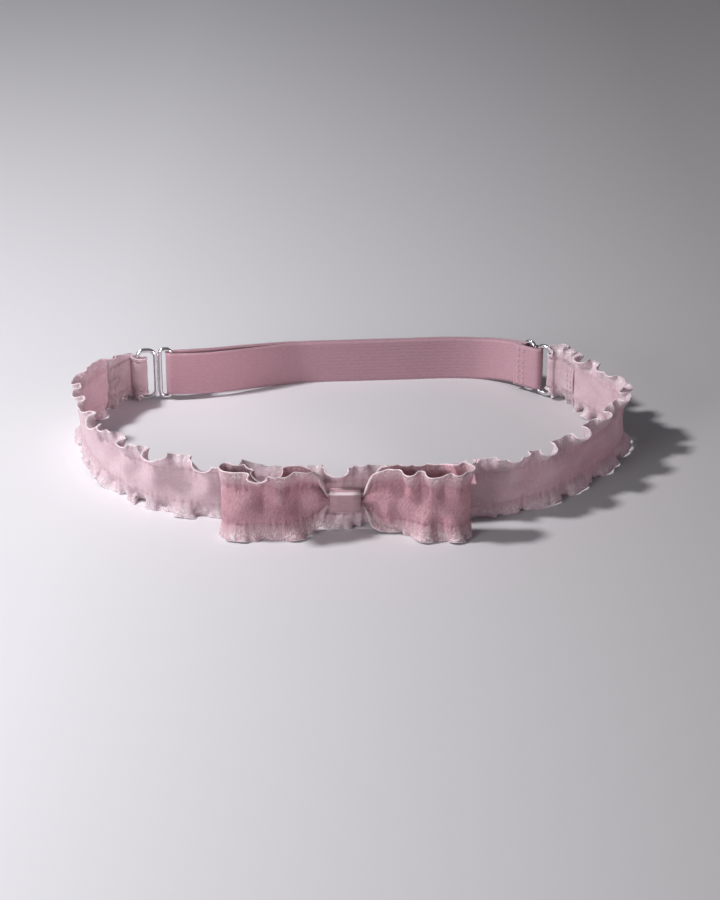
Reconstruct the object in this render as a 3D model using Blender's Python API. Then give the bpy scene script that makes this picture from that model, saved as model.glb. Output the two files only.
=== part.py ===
"""Ruffled ribbon belt with a bow, standing on edge as a closed loop.

A gathered ribbon runs round the front from one metal link to the other, a doubled
elastic strap closes the loop at the back, and a bow is sewn on the front centre.
Each cloth piece is a closed wall of even thickness round a worked-out middle surface.
Sizes are in millimetres and degrees until make_object turns them into metres.
+X is to the wearer's left, -Y is the front, and the belt stands on Z = 0.
"""

import math

import bpy
import numpy as np

MM = 0.001
SEAM_GAP = 0.3
SHARP_EDGE_DEG = 50.0

# Ribbon of the band and the bow: a plain panel with a gathered flounce on each edge.
# A flounce swings out from its seam, and curls on towards its edge.
RIBBON_WALL = 1.0
PANEL_HEIGHT = 14.5
FLOUNCE_DEPTH = 6.3
PANEL_FOOT = 6.4
FLOUNCE_ROOT_SHARE = 0.3
FLOUNCE_CURL_SHARE = 1.0
FLOUNCE_PARTS = 8
SEAM_PUCKER = 0.35
HELD_SWING = 12.0
HELD_WAVE_SHARE = 0.6

# Plan of the band's middle line, from the left link round the front to the right one.
# lean_deg tips the top of the panel outwards.
BAND_PLAN = (
    # x_mm, y_mm, lean_deg
    (-107.0, 48.5, 0.0),
    (-114.0, 36.5, 0.0),
    (-118.5, 20.0, 0.0),
    (-116.0, 3.0, 0.0),
    (-109.5, -15.0, 0.0),
    (-101.0, -33.0, 0.0),
    (-89.5, -48.0, 2.0),
    (-75.5, -57.5, 2.0),
    (-59.5, -62.0, 0.0),
    (-40.0, -65.5, 0.0),
    (-20.0, -69.3, 0.0),
    (-3.5, -70.6, 0.0),
    (14.0, -69.5, 0.0),
    (34.0, -67.5, 0.0),
    (54.5, -63.5, 3.0),
    (72.0, -56.5, 3.0),
    (87.0, -45.5, 0.0),
    (99.5, -31.0, 0.0),
    (110.0, -16.0, 0.0),
    (117.0, -2.0, 0.0),
    (119.5, 11.0, 0.0),
    (116.5, 24.0, 0.0),
    (109.0, 37.0, 0.0),
    (101.0, 49.0, 0.0),
)
BAND_STEPS = 205
BAND_FLAP_STEPS = 6
BAND_FLAP_CLOSES = 8.0
BAND_CLEARS_LINK = 3.5
BAND_DEPTHS = (6.3, 3.4)
BAND_PANEL_SHARES = (0.0, 0.5, 1.0)
FOLD_STEPS = 6

# Ruffle waves of a ribbon's edges. drift_rad shifts the spacing of the waves and swell
# their size, each along a slow sine of its own length.
BAND_WAVES = (
    # edge, length_mm, mean_deg, swing_deg, drift_rad, drift_length_mm, swell, swell_length_mm
    ("lower", 11.5, 0.0, 36.0, 1.1, 59.0, 0.30, 43.0),
    ("upper", 15.5, 0.0, 36.0, 1.3, 71.0, 0.30, 53.0),
)
BOW_WAVES = (
    ("lower", 13.0, 8.0, 26.0, 0.9, 47.0, 0.25, 37.0),
    ("upper", 15.0, 8.0, 30.0, 0.9, 53.0, 0.25, 41.0),
)

# The largest folds of the band's flounces, laid over its waves. Lengths along the band,
# here and for its waves, start at the fold in the left link.
BAND_FOLDS = (
    # edge, along_mm, width_mm, swing_deg
    ("upper", 52.0, 7.0, 40.0),
    ("upper", 66.0, 7.0, 32.0),
    ("upper", 76.0, 7.0, 48.0),
    ("upper", 86.0, 9.0, -12.0),
    ("upper", 97.0, 7.0, 50.0),
    ("upper", 114.0, 10.0, -28.0),
    ("upper", 123.0, 7.0, 20.0),
    ("upper", 132.0, 7.0, -28.0),
    ("upper", 140.0, 9.0, 50.0),
    ("upper", 152.0, 10.0, -12.0),
    ("upper", 184.0, 44.0, -72.0),
    ("upper", 160.0, 9.0, 76.0),
    ("upper", 215.0, 9.0, 30.0),
    ("upper", 227.0, 12.0, -24.0),
    ("upper", 252.0, 36.0, -72.0),
    ("upper", 271.0, 6.0, 18.0),
    ("upper", 279.0, 8.0, -30.0),
    ("upper", 292.0, 8.0, 32.0),
    ("upper", 299.0, 6.0, 2.0),
    ("upper", 305.0, 7.0, 40.0),
    ("upper", 313.0, 8.0, -32.0),
    ("upper", 326.0, 9.0, 36.0),
    ("upper", 335.0, 8.0, -26.0),
    ("upper", 347.0, 9.0, 24.0),
    ("upper", 359.0, 8.0, -50.0),
    ("upper", 369.0, 7.0, 34.0),
    ("upper", 376.0, 6.0, -18.0),
    ("upper", 383.0, 7.0, 44.0),
    ("upper", 396.0, 9.0, -22.0),
    ("lower", 88.0, 8.0, 22.0),
    ("lower", 97.0, 7.0, -22.0),
    ("lower", 106.0, 9.0, 40.0),
    ("lower", 114.0, 7.0, -34.0),
    ("lower", 121.0, 7.0, 32.0),
    ("lower", 128.0, 7.0, -36.0),
    ("lower", 134.5, 7.0, 30.0),
    ("lower", 141.5, 8.0, -34.0),
    ("lower", 152.0, 11.0, 34.0),
    ("lower", 164.0, 9.0, -10.0),
    ("lower", 217.0, 16.0, 24.0),
    ("lower", 276.0, 12.0, -14.0),
    ("lower", 289.0, 10.0, 6.0),
    ("lower", 299.0, 8.0, -12.0),
    ("lower", 309.0, 10.0, 28.0),
    ("lower", 318.0, 7.0, -24.0),
    ("lower", 329.0, 11.0, 30.0),
    ("lower", 339.0, 7.0, -24.0),
    ("lower", 351.0, 12.0, 32.0),
    ("lower", 362.0, 7.0, -18.0),
    ("lower", 375.0, 10.0, 38.0),
)

# Links: flat figure-of-eight castings that stand on edge
LINK_HEIGHT = 25.0
LINK_MIDDLE = 13.2
LINK_BAR = 2.0
LINK_THICKNESS = 1.9
LINK_ROUNDING = 0.55
LINK_WIDE_SLOT = 6.2
LINK_NARROW_SLOT = 3.0
LINK_CENTRE_BAR = 4.1
LINK_SLOT_CORNER = 0.9
LINK_WIDE_CORNER = 4.2
LINK_NARROW_CORNER = 3.0
LINK_DIP = 1.1
LINK_DIP_WIDTH = 1.6
LINK_EDGE_STEPS = 10
LINK_CORNER_STEPS = 5
LINK_SLOT_CORNER_STEPS = 3
WIDE_BAR_ALONG = -(LINK_CENTRE_BAR + LINK_BAR) / 2.0 - LINK_WIDE_SLOT
NARROW_BAR_ALONG = (LINK_CENTRE_BAR + LINK_BAR) / 2.0 + LINK_NARROW_SLOT
LINKS = {
    # name: x_mm, y_mm, heading_deg from the wide slot to the narrow one
    "link_left": (-87.9, 59.2, 8.0),
    "link_right": (85.4, 66.2, 138.0),
}

# How each end of the band sits in its link: reach_mm is how far the fold stands past
# the bar's centre, flap_mm is its length on the inner side, and the flares open the
# flounces where they leave the slot.
# The flounces are gathered in the slot, and are at full depth again past full_mm.
BAND_ENDS = {
    # link: reach_mm, flap_mm, lower_flare_deg, upper_flare_deg, drop_mm,
    #   lower_full_mm, upper_full_mm
    "link_left": (4.2, 21.0, 26.0, 10.0, 1.3, 9.0, 32.0),
    "link_right": (1.9, 15.5, 40.0, 10.0, 0.0, 6.0, 6.0),
}
SLOT_FLOUNCE_SHARE = 0.22
SLOT_HALF_LENGTH = 3.4
END_ZONE = (16.0, 24.0)
BOW_ZONE = (42.0, 56.0)

# Bow: plan of the closed strip, from the middle of its back layer to the left
BOW_PLAN = (
    # x_mm, y_mm
    (-1.4, -73.75),
    (-8.0, -73.7),
    (-13.0, -73.4),
    (-22.0, -73.2),
    (-34.0, -72.8),
    (-47.0, -73.6),
    (-51.0, -77.3),
    (-47.0, -81.2),
    (-34.0, -82.6),
    (-22.0, -80.6),
    (-13.0, -76.6),
    (-8.0, -75.2),
    (-1.4, -75.05),
    (5.2, -75.2),
    (10.2, -76.3),
    (20.0, -78.4),
    (32.0, -82.4),
    (44.5, -82.6),
    (48.8, -77.6),
    (44.5, -73.0),
    (32.0, -72.6),
    (20.0, -73.0),
    (10.2, -73.4),
    (5.2, -73.7),
)
BOW_MIDDLE = (-1.4, -74.4, 14.2)
BOW_STEPS = 92
BOW_DEPTHS = (6.8, 4.4, 2.0)
BOW_PANEL_SHARES = (0.0, 1.0 / 3.0, 2.0 / 3.0, 1.0)
BOW_LIFT = 1.6
BOW_END_SWING = 12.0
BOW_END_ZONE = (1.5, 6.0)
BOW_PLEATS = 2.0
BOW_OPENS = (0.1, 0.7)
BOW_FOLDS = (
    # edge, along_mm, width_mm, swing_deg
    ("upper", 68.0, 8.0, 74.0),
    ("upper", 84.0, 10.0, 14.0),
    ("upper", 122.0, 8.0, -5.0),
    ("upper", 130.0, 7.0, 40.0),
    ("upper", 141.0, 7.0, 54.0),
)
BOW_PINCH = (
    # from_middle_mm, height_share, pleat_mm
    (0.0, 0.22, 0.10),
    (7.6, 0.22, 0.10),
    (9.0, 0.50, 0.50),
    (11.0, 0.84, 1.00),
    (14.0, 1.01, 0.80),
    (18.0, 1.08, 0.30),
    (26.0, 1.08, 0.0),
)

# Knot: plain satin wrap round the pinched middle of the bow
KNOT_WIDTH = 12.5
KNOT_HEIGHT = 9.8
KNOT_DEPTH = 5.5
KNOT_WALL = 1.0
KNOT_CORNER = 1.6
KNOT_CORNER_STEPS = 3
KNOT_ROWS = (
    # along_share, swell_mm
    (0.0, 0.0),
    (0.3, 0.15),
    (0.7, 0.15),
    (1.0, 0.0),
)

# Strap: 20 mm elastic, doubled. Its plan is the line between the two layers, from the
# left link's narrow bar to the right link's centre bar.
STRAP_WIDTH = 20.0
STRAP_WALL = 1.2
STRAP_PLAN = (
    # x_mm, y_mm
    (-69.5, 62.6),
    (-57.5, 67.0),
    (-45.5, 72.3),
    (-33.5, 77.0),
    (-21.5, 80.0),
    (4.5, 82.1),
    (24.5, 83.6),
    (44.5, 85.2),
    (56.5, 84.8),
    (64.5, 82.8),
    (72.0, 78.6),
    (78.7, 72.2),
)
STRAP_LAYERS = (
    # along_mm, inner_mm, outer_mm, foot_mm
    (0.0, 1.9, 1.9, 3.2),
    (12.0, 2.4, 2.6, 2.7),
    (30.0, 2.5, 2.5, 1.6),
    (45.0, 1.9, 1.9, 0.6),
    (62.0, 0.8, 0.8, 0.0),
    (145.0, 0.8, 0.8, 0.0),
    (158.0, 0.8, 1.2, 1.4),
    (168.0, 0.7, 1.9, 2.8),
    (180.0, 0.7, 1.9, 3.2),
)
STRAP_STEPS = 34
STRAP_FLAP = 11.6
STRAP_FLAP_STEPS = 4
STRAP_FLAP_OFFSETS = (1.9, 2.25)
STRAP_INNER_END = 8.7

MATERIALS = (
    # name, red, green, blue, roughness, metallic; the colours are linear
    ("ribbon_chiffon", 0.83, 0.52, 0.55, 0.62, 0.0),
    ("bow_chiffon", 0.76, 0.40, 0.45, 0.60, 0.0),
    ("satin", 0.80, 0.47, 0.50, 0.30, 0.0),
    ("elastic", 0.62, 0.32, 0.38, 0.75, 0.0),
    ("silver_metal", 0.80, 0.80, 0.81, 0.22, 1.0),
)


def clear_scene():
    for obj in list(bpy.data.objects):
        bpy.data.objects.remove(obj, do_unlink=True)


def make_materials():
    made = {}
    for name, red, green, blue, roughness, metallic in MATERIALS:
        material = bpy.data.materials.new(name)
        material.use_nodes = True
        shader = material.node_tree.nodes["Principled BSDF"]
        shader.inputs["Base Color"].default_value = (red, green, blue, 1.0)
        shader.inputs["Roughness"].default_value = roughness
        shader.inputs["Metallic"].default_value = metallic
        made[name] = material
    return made


def make_object(name, points, faces, material):
    mesh = bpy.data.meshes.new(name)
    mesh.from_pydata((np.asarray(points) * MM).tolist(), [], faces)
    mesh.materials.append(material)
    mesh.shade_smooth()
    mesh.set_sharp_from_angle(angle=math.radians(SHARP_EDGE_DEG))
    obj = bpy.data.objects.new(name, mesh)
    bpy.context.scene.collection.objects.link(obj)
    return obj


def fade(distance, zone):
    """1 up to the near end of the zone, falling smoothly to 0 at its far end."""
    near, far = zone
    value = np.clip((far - np.asarray(distance)) / (far - near), 0.0, 1.0)
    return value * value * (3.0 - 2.0 * value)


def mix(first, second, share):
    return first * (1.0 - share) + second * share


def curve_through(rows, closed=False, per_span=24):
    """Catmull-Rom curve through the rows, column by column."""
    knots = np.array(rows, float)
    if closed:
        knots = np.vstack([knots[-1], knots, knots[:2]])
    else:
        before = 2.0 * knots[0] - knots[1]
        after = 2.0 * knots[-1] - knots[-2]
        knots = np.vstack([before, knots, after])
    share = np.linspace(0.0, 1.0, per_span, endpoint=False)[:, None]
    spans = []
    for a, b, c, d in zip(knots, knots[1:], knots[2:], knots[3:]):
        linear = (c - a) * share
        square = (2.0 * a - 5.0 * b + 4.0 * c - d) * share**2
        cube = (3.0 * b - a - 3.0 * c + d) * share**3
        spans.append(0.5 * (2.0 * b + linear + square + cube))
    return np.vstack([*spans, knots[-2][None]])


def lengths_along(points):
    steps = np.linalg.norm(np.diff(points[:, :2], axis=0), axis=1)
    return np.concatenate([[0.0], np.cumsum(steps)])


def read_at(wanted, along, values):
    """The values' columns at the wanted lengths along."""
    return np.column_stack([np.interp(wanted, along, one) for one in values.T])


def resample(points, steps):
    """The curve again, in steps of equal length."""
    along = lengths_along(points)
    return read_at(np.linspace(0.0, along[-1], steps + 1), along, points)


def right_normals(points, closed=False):
    """Unit normal at each point of a plan curve, to the right of its direction."""
    if closed:
        ahead = np.roll(points, -1, axis=0) - np.roll(points, 1, axis=0)
    else:
        ahead = np.gradient(points[:, :2], axis=0)
    ahead = ahead[:, :2] / np.linalg.norm(ahead[:, :2], axis=1)[:, None]
    return np.column_stack([ahead[:, 1], -ahead[:, 0]])


def rounded_rectangle(width, height, radius, corner_steps):
    """Points of the outline round its centre, corner by corner, anticlockwise."""
    points = []
    for quarter, (side, top) in enumerate(((1, 1), (-1, 1), (-1, -1), (1, -1))):
        for step in range(corner_steps + 1):
            angle = math.pi / 2.0 * (quarter + step / corner_steps)
            across = side * (width / 2.0 - radius) + radius * math.cos(angle)
            up = top * (height / 2.0 - radius) + radius * math.sin(angle)
            points.append((across, up))
    return points


def surface_normals(grid, closed=False):
    """Unit normals of a grid of points, along its first index and up its second."""
    if closed:
        along = np.roll(grid, -1, axis=0) - np.roll(grid, 1, axis=0)
    else:
        along = np.gradient(grid, axis=0)
    normal = np.cross(along, np.gradient(grid, axis=1))
    return normal / np.linalg.norm(normal, axis=2)[:, :, None]


def sheet_solid(grid, wall, closed=False):
    """Closed wall round a grid of middle points, half its thickness to each side."""
    half = surface_normals(grid, closed) * wall / 2.0
    count, rows = grid.shape[:2]
    points = np.concatenate([grid + half, grid - half]).reshape(-1, 3)

    def index(i, j, side):
        return (side * count + i % count) * rows + j

    faces = []
    for i in range(count if closed else count - 1):
        for j in range(rows - 1):
            corners = ((i, j), (i + 1, j), (i + 1, j + 1), (i, j + 1))
            faces.append([index(a, b, 0) for a, b in corners])
            faces.append([index(a, b, 1) for a, b in reversed(corners)])
        for j, order in ((0, 1), (rows - 1, -1)):
            rim = [index(i, j, 1), index(i + 1, j, 1), index(i + 1, j, 0), index(i, j, 0)]
            faces.append(rim[::order])
    if not closed:
        for i, order in ((0, 1), (count - 1, -1)):
            for j in range(rows - 1):
                end = [index(i, j, 0), index(i, j + 1, 0), index(i, j + 1, 1), index(i, j, 1)]
                faces.append(end[::order])
    return points, faces


def link_point(name, along, right=0.0):
    """Plan point of a link: along its heading, and to the right of it."""
    x, y, heading = LINKS[name]
    cos, sin = math.cos(math.radians(heading)), math.sin(math.radians(heading))
    return np.array([x + along * cos + right * sin, y + along * sin - right * cos])


def fold_round(name, bar_along, reach, radius):
    """Plan points of a fold round a link's bar, from its right side to its left."""
    angles = np.linspace(0.0, math.pi, FOLD_STEPS + 1)[1:-1]
    rounds = [(reach * math.sin(a), radius * math.cos(a)) for a in angles]
    return np.array([link_point(name, bar_along + out, side) for out, side in rounds])


def ruffle(along, wave):
    """Swing of a flounce in degrees: a wave of uneven length and size."""
    _, length, mean, swing, drift, drift_length, swell, swell_length = wave
    turn = 2.0 * math.pi
    phase = turn * along / length + drift * np.sin(turn * along / drift_length)
    size = swing * (1.0 + swell * np.sin(turn * along / swell_length + 1.0))
    return mean + size * np.sin(phase)


def lay_folds(swings, along, edge, folds):
    """The named folds on one edge, laid over its waves."""
    for fold_edge, fold_along, width, fold_swing in folds:
        if fold_edge == edge:
            share = np.exp(-(((along - fold_along) / (0.5 * width)) ** 2))
            swings = mix(swings, fold_swing, share)
    return swings


def held(swings, side):
    """The same waves, all leaning to one side, for where another layer lies close."""
    return side * (HELD_SWING + HELD_WAVE_SHARE * np.abs(swings))


def flounce_point(depth, swing):
    """How far out and how far from its seam a flounce reaches at a depth down it."""
    shares = (np.arange(FLOUNCE_PARTS) + 0.5) / FLOUNCE_PARTS
    curl = FLOUNCE_ROOT_SHARE + FLOUNCE_CURL_SHARE * depth / FLOUNCE_DEPTH * shares
    angles = math.radians(swing) * curl
    out = depth * np.mean(np.sin(angles))
    away = depth * np.mean(np.cos(angles))
    return out, away


def ribbon_profile(swings, flounce_shares, depths, panel_shares):
    """(out, z) up the ribbon: lower flounce, panel and upper flounce."""
    head = PANEL_FOOT + PANEL_HEIGHT
    lower = [flounce_point(depth, swings[0]) for depth in depths]
    upper = [flounce_point(depth, swings[1]) for depth in reversed(depths)]
    lower_share, upper_share = flounce_shares
    rows = [(out * lower_share, PANEL_FOOT - away * lower_share) for out, away in lower]
    for share in panel_shares:
        swing = mix(swings[0], swings[1], share)
        pucker = SEAM_PUCKER * abs(2.0 * share - 1.0) * math.sin(math.radians(2.0 * swing))
        rows.append((pucker, PANEL_FOOT + share * PANEL_HEIGHT))
    rows += [(out * upper_share, head + away * upper_share) for out, away in upper]
    return np.array(rows)


def band_line():
    """Plan points and lean of the whole band, from one cut end to the other."""
    radius = LINK_THICKNESS / 2.0 + SEAM_GAP + RIBBON_WALL / 2.0
    clear = WIDE_BAR_ALONG - BAND_CLEARS_LINK
    places = (WIDE_BAR_ALONG, clear)
    first = [(*link_point("link_left", place, -radius), 0.0) for place in places]
    last = [(*link_point("link_right", place, radius), 0.0) for place in reversed(places)]
    main = resample(curve_through([*first, *BAND_PLAN, *last]), BAND_STEPS)
    along = lengths_along(main)
    normals = right_normals(main)
    close = RIBBON_WALL + SEAM_GAP
    flaps = {}
    for name, bar, side in (("link_left", 0.0, 1.0), ("link_right", along[-1], -1.0)):
        from_bar = np.linspace(0.0, BAND_ENDS[name][1], BAND_FLAP_STEPS + 1)
        spacing = mix(close, 2.0 * radius, fade(from_bar, (0.0, BAND_FLAP_CLOSES)))[:, None]
        places = bar + side * from_bar
        beside = read_at(places, along, main[:, :2])
        flaps[name] = beside - spacing * read_at(places, along, normals)
    folds = {
        name: fold_round(name, WIDE_BAR_ALONG, BAND_ENDS[name][0], radius)
        for name in LINKS
    }
    left = [flaps["link_left"][::-1], folds["link_left"]]
    right = [folds["link_right"], flaps["link_right"]]
    plan = np.vstack([*left, main[:, :2], *right])
    flat = np.zeros(BAND_FLAP_STEPS + FOLD_STEPS)
    return plan, np.concatenate([flat, main[:, 2], flat])


def band_swings(plan, along, from_fold, flares, gathers):
    """Swing of the lower and the upper flounce at each point of the band's line."""
    at_end = fade(from_fold, END_ZONE)
    behind_bow = fade(np.abs(plan[:, 0] - BOW_MIDDLE[0]), BOW_ZONE) * (plan[:, 1] < 0.0)
    swings = []
    for wave, flare, gather in zip(BAND_WAVES, flares, gathers):
        free = ruffle(along, wave)
        free = mix(free, held(free, -1.0), behind_bow)
        free = mix(free, held(free, 1.0), at_end)
        free = lay_folds(free, along, wave[0], BAND_FOLDS)
        swings.append(mix(free, flare, gather))
    return swings


def band_grid():
    plan, lean = band_line()
    normals = right_normals(plan)
    fold = BAND_FLAP_STEPS + FOLD_STEPS // 2
    along = lengths_along(plan)
    along -= along[fold]
    from_fold = np.minimum(np.abs(along), np.abs(along - along[-1 - fold]))
    ends = [BAND_ENDS["link_left" if x < 0.0 else "link_right"] for x in plan[:, 0]]
    _, _, lower_flare, upper_flare, drop, lower_full, upper_full = np.array(ends).T
    gathers = [fade(from_fold, (SLOT_HALF_LENGTH, full)) for full in (lower_full, upper_full)]
    swings = band_swings(plan, along, from_fold, (lower_flare, upper_flare), gathers)
    flounce_shares = [mix(1.0, SLOT_FLOUNCE_SHARE, gather) for gather in gathers]
    middle = PANEL_FOOT + PANEL_HEIGHT / 2.0
    sections = []
    for i, centre in enumerate(plan):
        profile = ribbon_profile(
            [one[i] for one in swings],
            [one[i] for one in flounce_shares],
            BAND_DEPTHS,
            BAND_PANEL_SHARES,
        )
        out = profile[:, 0] + math.tan(math.radians(lean[i])) * (profile[:, 1] - middle)
        height = profile[:, 1] - drop[i] * gathers[0][i]
        sections.append(np.column_stack([centre + out[:, None] * normals[i], height]))
    return np.array(sections)


def bow_grid():
    plan = resample(curve_through(BOW_PLAN, closed=True), BOW_STEPS)[:-1]
    along = lengths_along(plan)
    normals = right_normals(plan, closed=True)
    centre_x, centre_y, centre_z = BOW_MIDDLE
    from_middle = np.abs(plan[:, 0] - centre_x)
    pinch = read_at(from_middle, np.array(BOW_PINCH)[:, 0], np.array(BOW_PINCH)[:, 1:])
    back = plan[:, 1] > centre_y
    at_end = fade(from_middle.max() - from_middle, BOW_END_ZONE)
    opened = fade(1.0 - pinch[:, 0], BOW_OPENS)
    swings = []
    for wave in BOW_WAVES:
        free = ruffle(along, wave)
        free = np.where(back, held(free, -1.0), free)
        free = lay_folds(mix(free, BOW_END_SWING, at_end), along, wave[0], BOW_FOLDS)
        swings.append(free * opened)
    sections = []
    for i, centre in enumerate(plan):
        height_share, pleat = pinch[i]
        profile = ribbon_profile(
            [one[i] for one in swings], (1.0, 1.0), BOW_DEPTHS, BOW_PANEL_SHARES
        )
        places = np.linspace(0.0, 1.0, len(profile))
        pleats = pleat * np.cos(2.0 * math.pi * BOW_PLEATS * places)
        height = centre_z + (profile[:, 1] + BOW_LIFT - centre_z) * height_share
        points = centre + profile[:, :1] * normals[i]
        points[:, 1] -= pleats
        sections.append(np.column_stack([points, height]))
    return np.array(sections)


def knot_grid():
    """Rounded rectangle round the bow's middle, in rows along X."""
    x, y, z = BOW_MIDDLE
    rows = []
    for share, swell in KNOT_ROWS:
        deep = KNOT_DEPTH - KNOT_WALL + 2.0 * swell
        high = KNOT_HEIGHT - KNOT_WALL + 2.0 * swell
        ring = rounded_rectangle(deep, high, KNOT_CORNER + swell, KNOT_CORNER_STEPS)
        place = x + (share - 0.5) * KNOT_WIDTH
        rows.append([(place, y + out, z + up) for out, up in ring])
    return np.array(rows).transpose(1, 0, 2)


def strap_line():
    """Plan points and lower-edge heights of the strap, from one cut end to the other."""
    radius = LINK_THICKNESS / 2.0 + SEAM_GAP + STRAP_WALL / 2.0
    centre_bar = LINK_BAR / 2.0 - LINK_CENTRE_BAR / 2.0
    start = link_point("link_left", NARROW_BAR_ALONG)
    end = link_point("link_right", centre_bar)
    middle = resample(curve_through([start, *STRAP_PLAN, end]), STRAP_STEPS)
    along = lengths_along(middle)
    inwards = right_normals(middle)
    layers = np.array(STRAP_LAYERS)
    inner, outer, foot = read_at(along, layers[:, 0], layers[:, 1:]).T
    outer_run = np.column_stack([middle - outer[:, None] * inwards, foot])
    inner_run = np.column_stack([middle + inner[:, None] * inwards, foot])
    inner_along = np.linspace(0.0, along[-1] - STRAP_INNER_END, STRAP_STEPS)
    inner_run = read_at(inner_along, along, inner_run)
    flap_along = along[-1] - np.linspace(STRAP_FLAP, 0.0, STRAP_FLAP_STEPS + 1)
    near, far = STRAP_FLAP_OFFSETS
    flap_offset = np.linspace(far, near, STRAP_FLAP_STEPS + 1)[:, None]
    flap = read_at(flap_along, along, middle) + flap_offset * read_at(flap_along, along, inwards)
    flap_run = np.column_stack([flap, np.interp(flap_along, along, foot)])
    right_fold = fold_round("link_right", centre_bar, -radius, -radius)
    left_fold = fold_round("link_left", NARROW_BAR_ALONG, -radius, -radius)
    right_fold = np.column_stack([right_fold, np.full(len(right_fold), foot[-1])])
    left_fold = np.column_stack([left_fold, np.full(len(left_fold), foot[0])])
    return np.vstack([flap_run, right_fold, outer_run[::-1], left_fold, inner_run])


def strap_grid():
    line = strap_line()
    lower = line
    upper = line + np.array([0.0, 0.0, STRAP_WIDTH])
    return np.stack([lower, upper], axis=1)


def link_outline():
    """Outer outline of a link: flat top and bottom with a dip over the centre bar."""
    left = WIDE_BAR_ALONG - LINK_BAR / 2.0 + LINK_WIDE_CORNER
    right = NARROW_BAR_ALONG + LINK_BAR / 2.0 - LINK_NARROW_CORNER
    top = LINK_HEIGHT / 2.0
    turns = np.linspace(math.pi, math.pi / 2.0, LINK_CORNER_STEPS + 1)
    points = []
    for angle in turns:
        across, up = LINK_WIDE_CORNER * math.cos(angle), LINK_WIDE_CORNER * math.sin(angle)
        points.append((left + across, top - LINK_WIDE_CORNER + up))
    for along in np.linspace(left, right, LINK_EDGE_STEPS + 1)[1:-1]:
        points.append((along, top - LINK_DIP * math.exp(-((along / LINK_DIP_WIDTH) ** 2))))
    for angle in turns[::-1]:
        across, up = -LINK_NARROW_CORNER * math.cos(angle), LINK_NARROW_CORNER * math.sin(angle)
        points.append((right + across, top - LINK_NARROW_CORNER + up))
    return points + [(along, -height) for along, height in reversed(points)]


def slot_outline(left, right):
    """Rounded rectangle between two lengths along the link."""
    height = LINK_HEIGHT - 2.0 * LINK_BAR
    slot = rounded_rectangle(right - left, height, LINK_SLOT_CORNER, LINK_SLOT_CORNER_STEPS)
    return [(along + (left + right) / 2.0, up) for along, up in slot]


def build_link(name, material):
    """Flat casting: a filled curve with its slots, thickened and with rounded edges."""
    curve = bpy.data.curves.new(name, "CURVE")
    curve.dimensions = "2D"
    curve.fill_mode = "BOTH"
    curve.extrude = (LINK_THICKNESS / 2.0 - LINK_ROUNDING) * MM
    curve.bevel_depth = LINK_ROUNDING * MM
    curve.bevel_resolution = 1
    curve.offset = -LINK_ROUNDING * MM
    centre = LINK_CENTRE_BAR / 2.0
    outlines = (
        link_outline(),
        slot_outline(-centre - LINK_WIDE_SLOT, -centre),
        slot_outline(centre, centre + LINK_NARROW_SLOT),
    )
    for outline in outlines:
        spline = curve.splines.new("POLY")
        spline.points.add(len(outline) - 1)
        for point, (along, height) in zip(spline.points, outline):
            point.co = (along * MM, height * MM, 0.0, 1.0)
        spline.use_cyclic_u = True
    curve.materials.append(material)
    link = bpy.data.objects.new(name, curve)
    bpy.context.scene.collection.objects.link(link)
    x, y, heading = LINKS[name]
    link.location = (x * MM, y * MM, LINK_MIDDLE * MM)
    link.rotation_euler = (math.pi / 2.0, 0.0, math.radians(heading))
    return link


def main():
    clear_scene()
    materials = make_materials()
    points, faces = sheet_solid(band_grid(), RIBBON_WALL)
    make_object("band", points, faces, materials["ribbon_chiffon"])
    points, faces = sheet_solid(bow_grid(), RIBBON_WALL, closed=True)
    make_object("bow", points, faces, materials["bow_chiffon"])
    points, faces = sheet_solid(knot_grid(), KNOT_WALL, closed=True)
    make_object("knot", points, faces, materials["satin"])
    points, faces = sheet_solid(strap_grid(), STRAP_WALL)
    make_object("strap", points, faces, materials["elastic"])
    for name in LINKS:
        build_link(name, materials["silver_metal"])


main()
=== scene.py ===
"""Looks of the ruffled ribbon belt with a bow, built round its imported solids.

The cloth pieces follow the same plans, folds and waves as the solids, in finer steps and
with the small creases, puckers, overlocked edges and stitches added. Sizes are in
millimetres and degrees until make_mesh turns them into metres.
"""

import math

import bpy
import numpy as np
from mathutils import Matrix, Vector


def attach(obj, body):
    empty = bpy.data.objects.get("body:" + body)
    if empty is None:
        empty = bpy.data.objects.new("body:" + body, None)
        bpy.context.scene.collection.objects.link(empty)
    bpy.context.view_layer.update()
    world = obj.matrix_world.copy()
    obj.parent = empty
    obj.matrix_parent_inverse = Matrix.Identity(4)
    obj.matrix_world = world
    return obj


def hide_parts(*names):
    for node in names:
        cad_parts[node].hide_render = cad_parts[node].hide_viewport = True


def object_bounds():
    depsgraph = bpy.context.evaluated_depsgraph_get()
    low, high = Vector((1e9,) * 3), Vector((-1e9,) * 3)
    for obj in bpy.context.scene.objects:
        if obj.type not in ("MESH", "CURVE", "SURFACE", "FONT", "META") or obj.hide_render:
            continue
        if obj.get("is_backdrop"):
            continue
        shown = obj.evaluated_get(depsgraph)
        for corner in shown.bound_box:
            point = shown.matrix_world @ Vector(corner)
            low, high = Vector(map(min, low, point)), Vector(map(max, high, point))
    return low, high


MM = 0.001
TURN = 2.0 * math.pi
SEAM_GAP = 0.3
FLAP_GAP = 0.05

# Ribbon of the band and the bow: a plain panel with a gathered flounce on each edge.
# A flounce swings out from its seam, and curls on towards its edge.
RIBBON_WALL = 1.0
RIBBON_SHELL = 0.55
PANEL_HEIGHT = 14.5
FLOUNCE_DEPTH = 6.3
PANEL_FOOT = 6.4
FLOUNCE_ROOT_SHARE = 0.88
FLOUNCE_CURL_SHARE = 0.25
FLOUNCE_PARTS = 8
SEAM_PUCKER = 0.35
HELD_SWING = 12.0
HELD_WAVE_SHARE = 0.6

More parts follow.
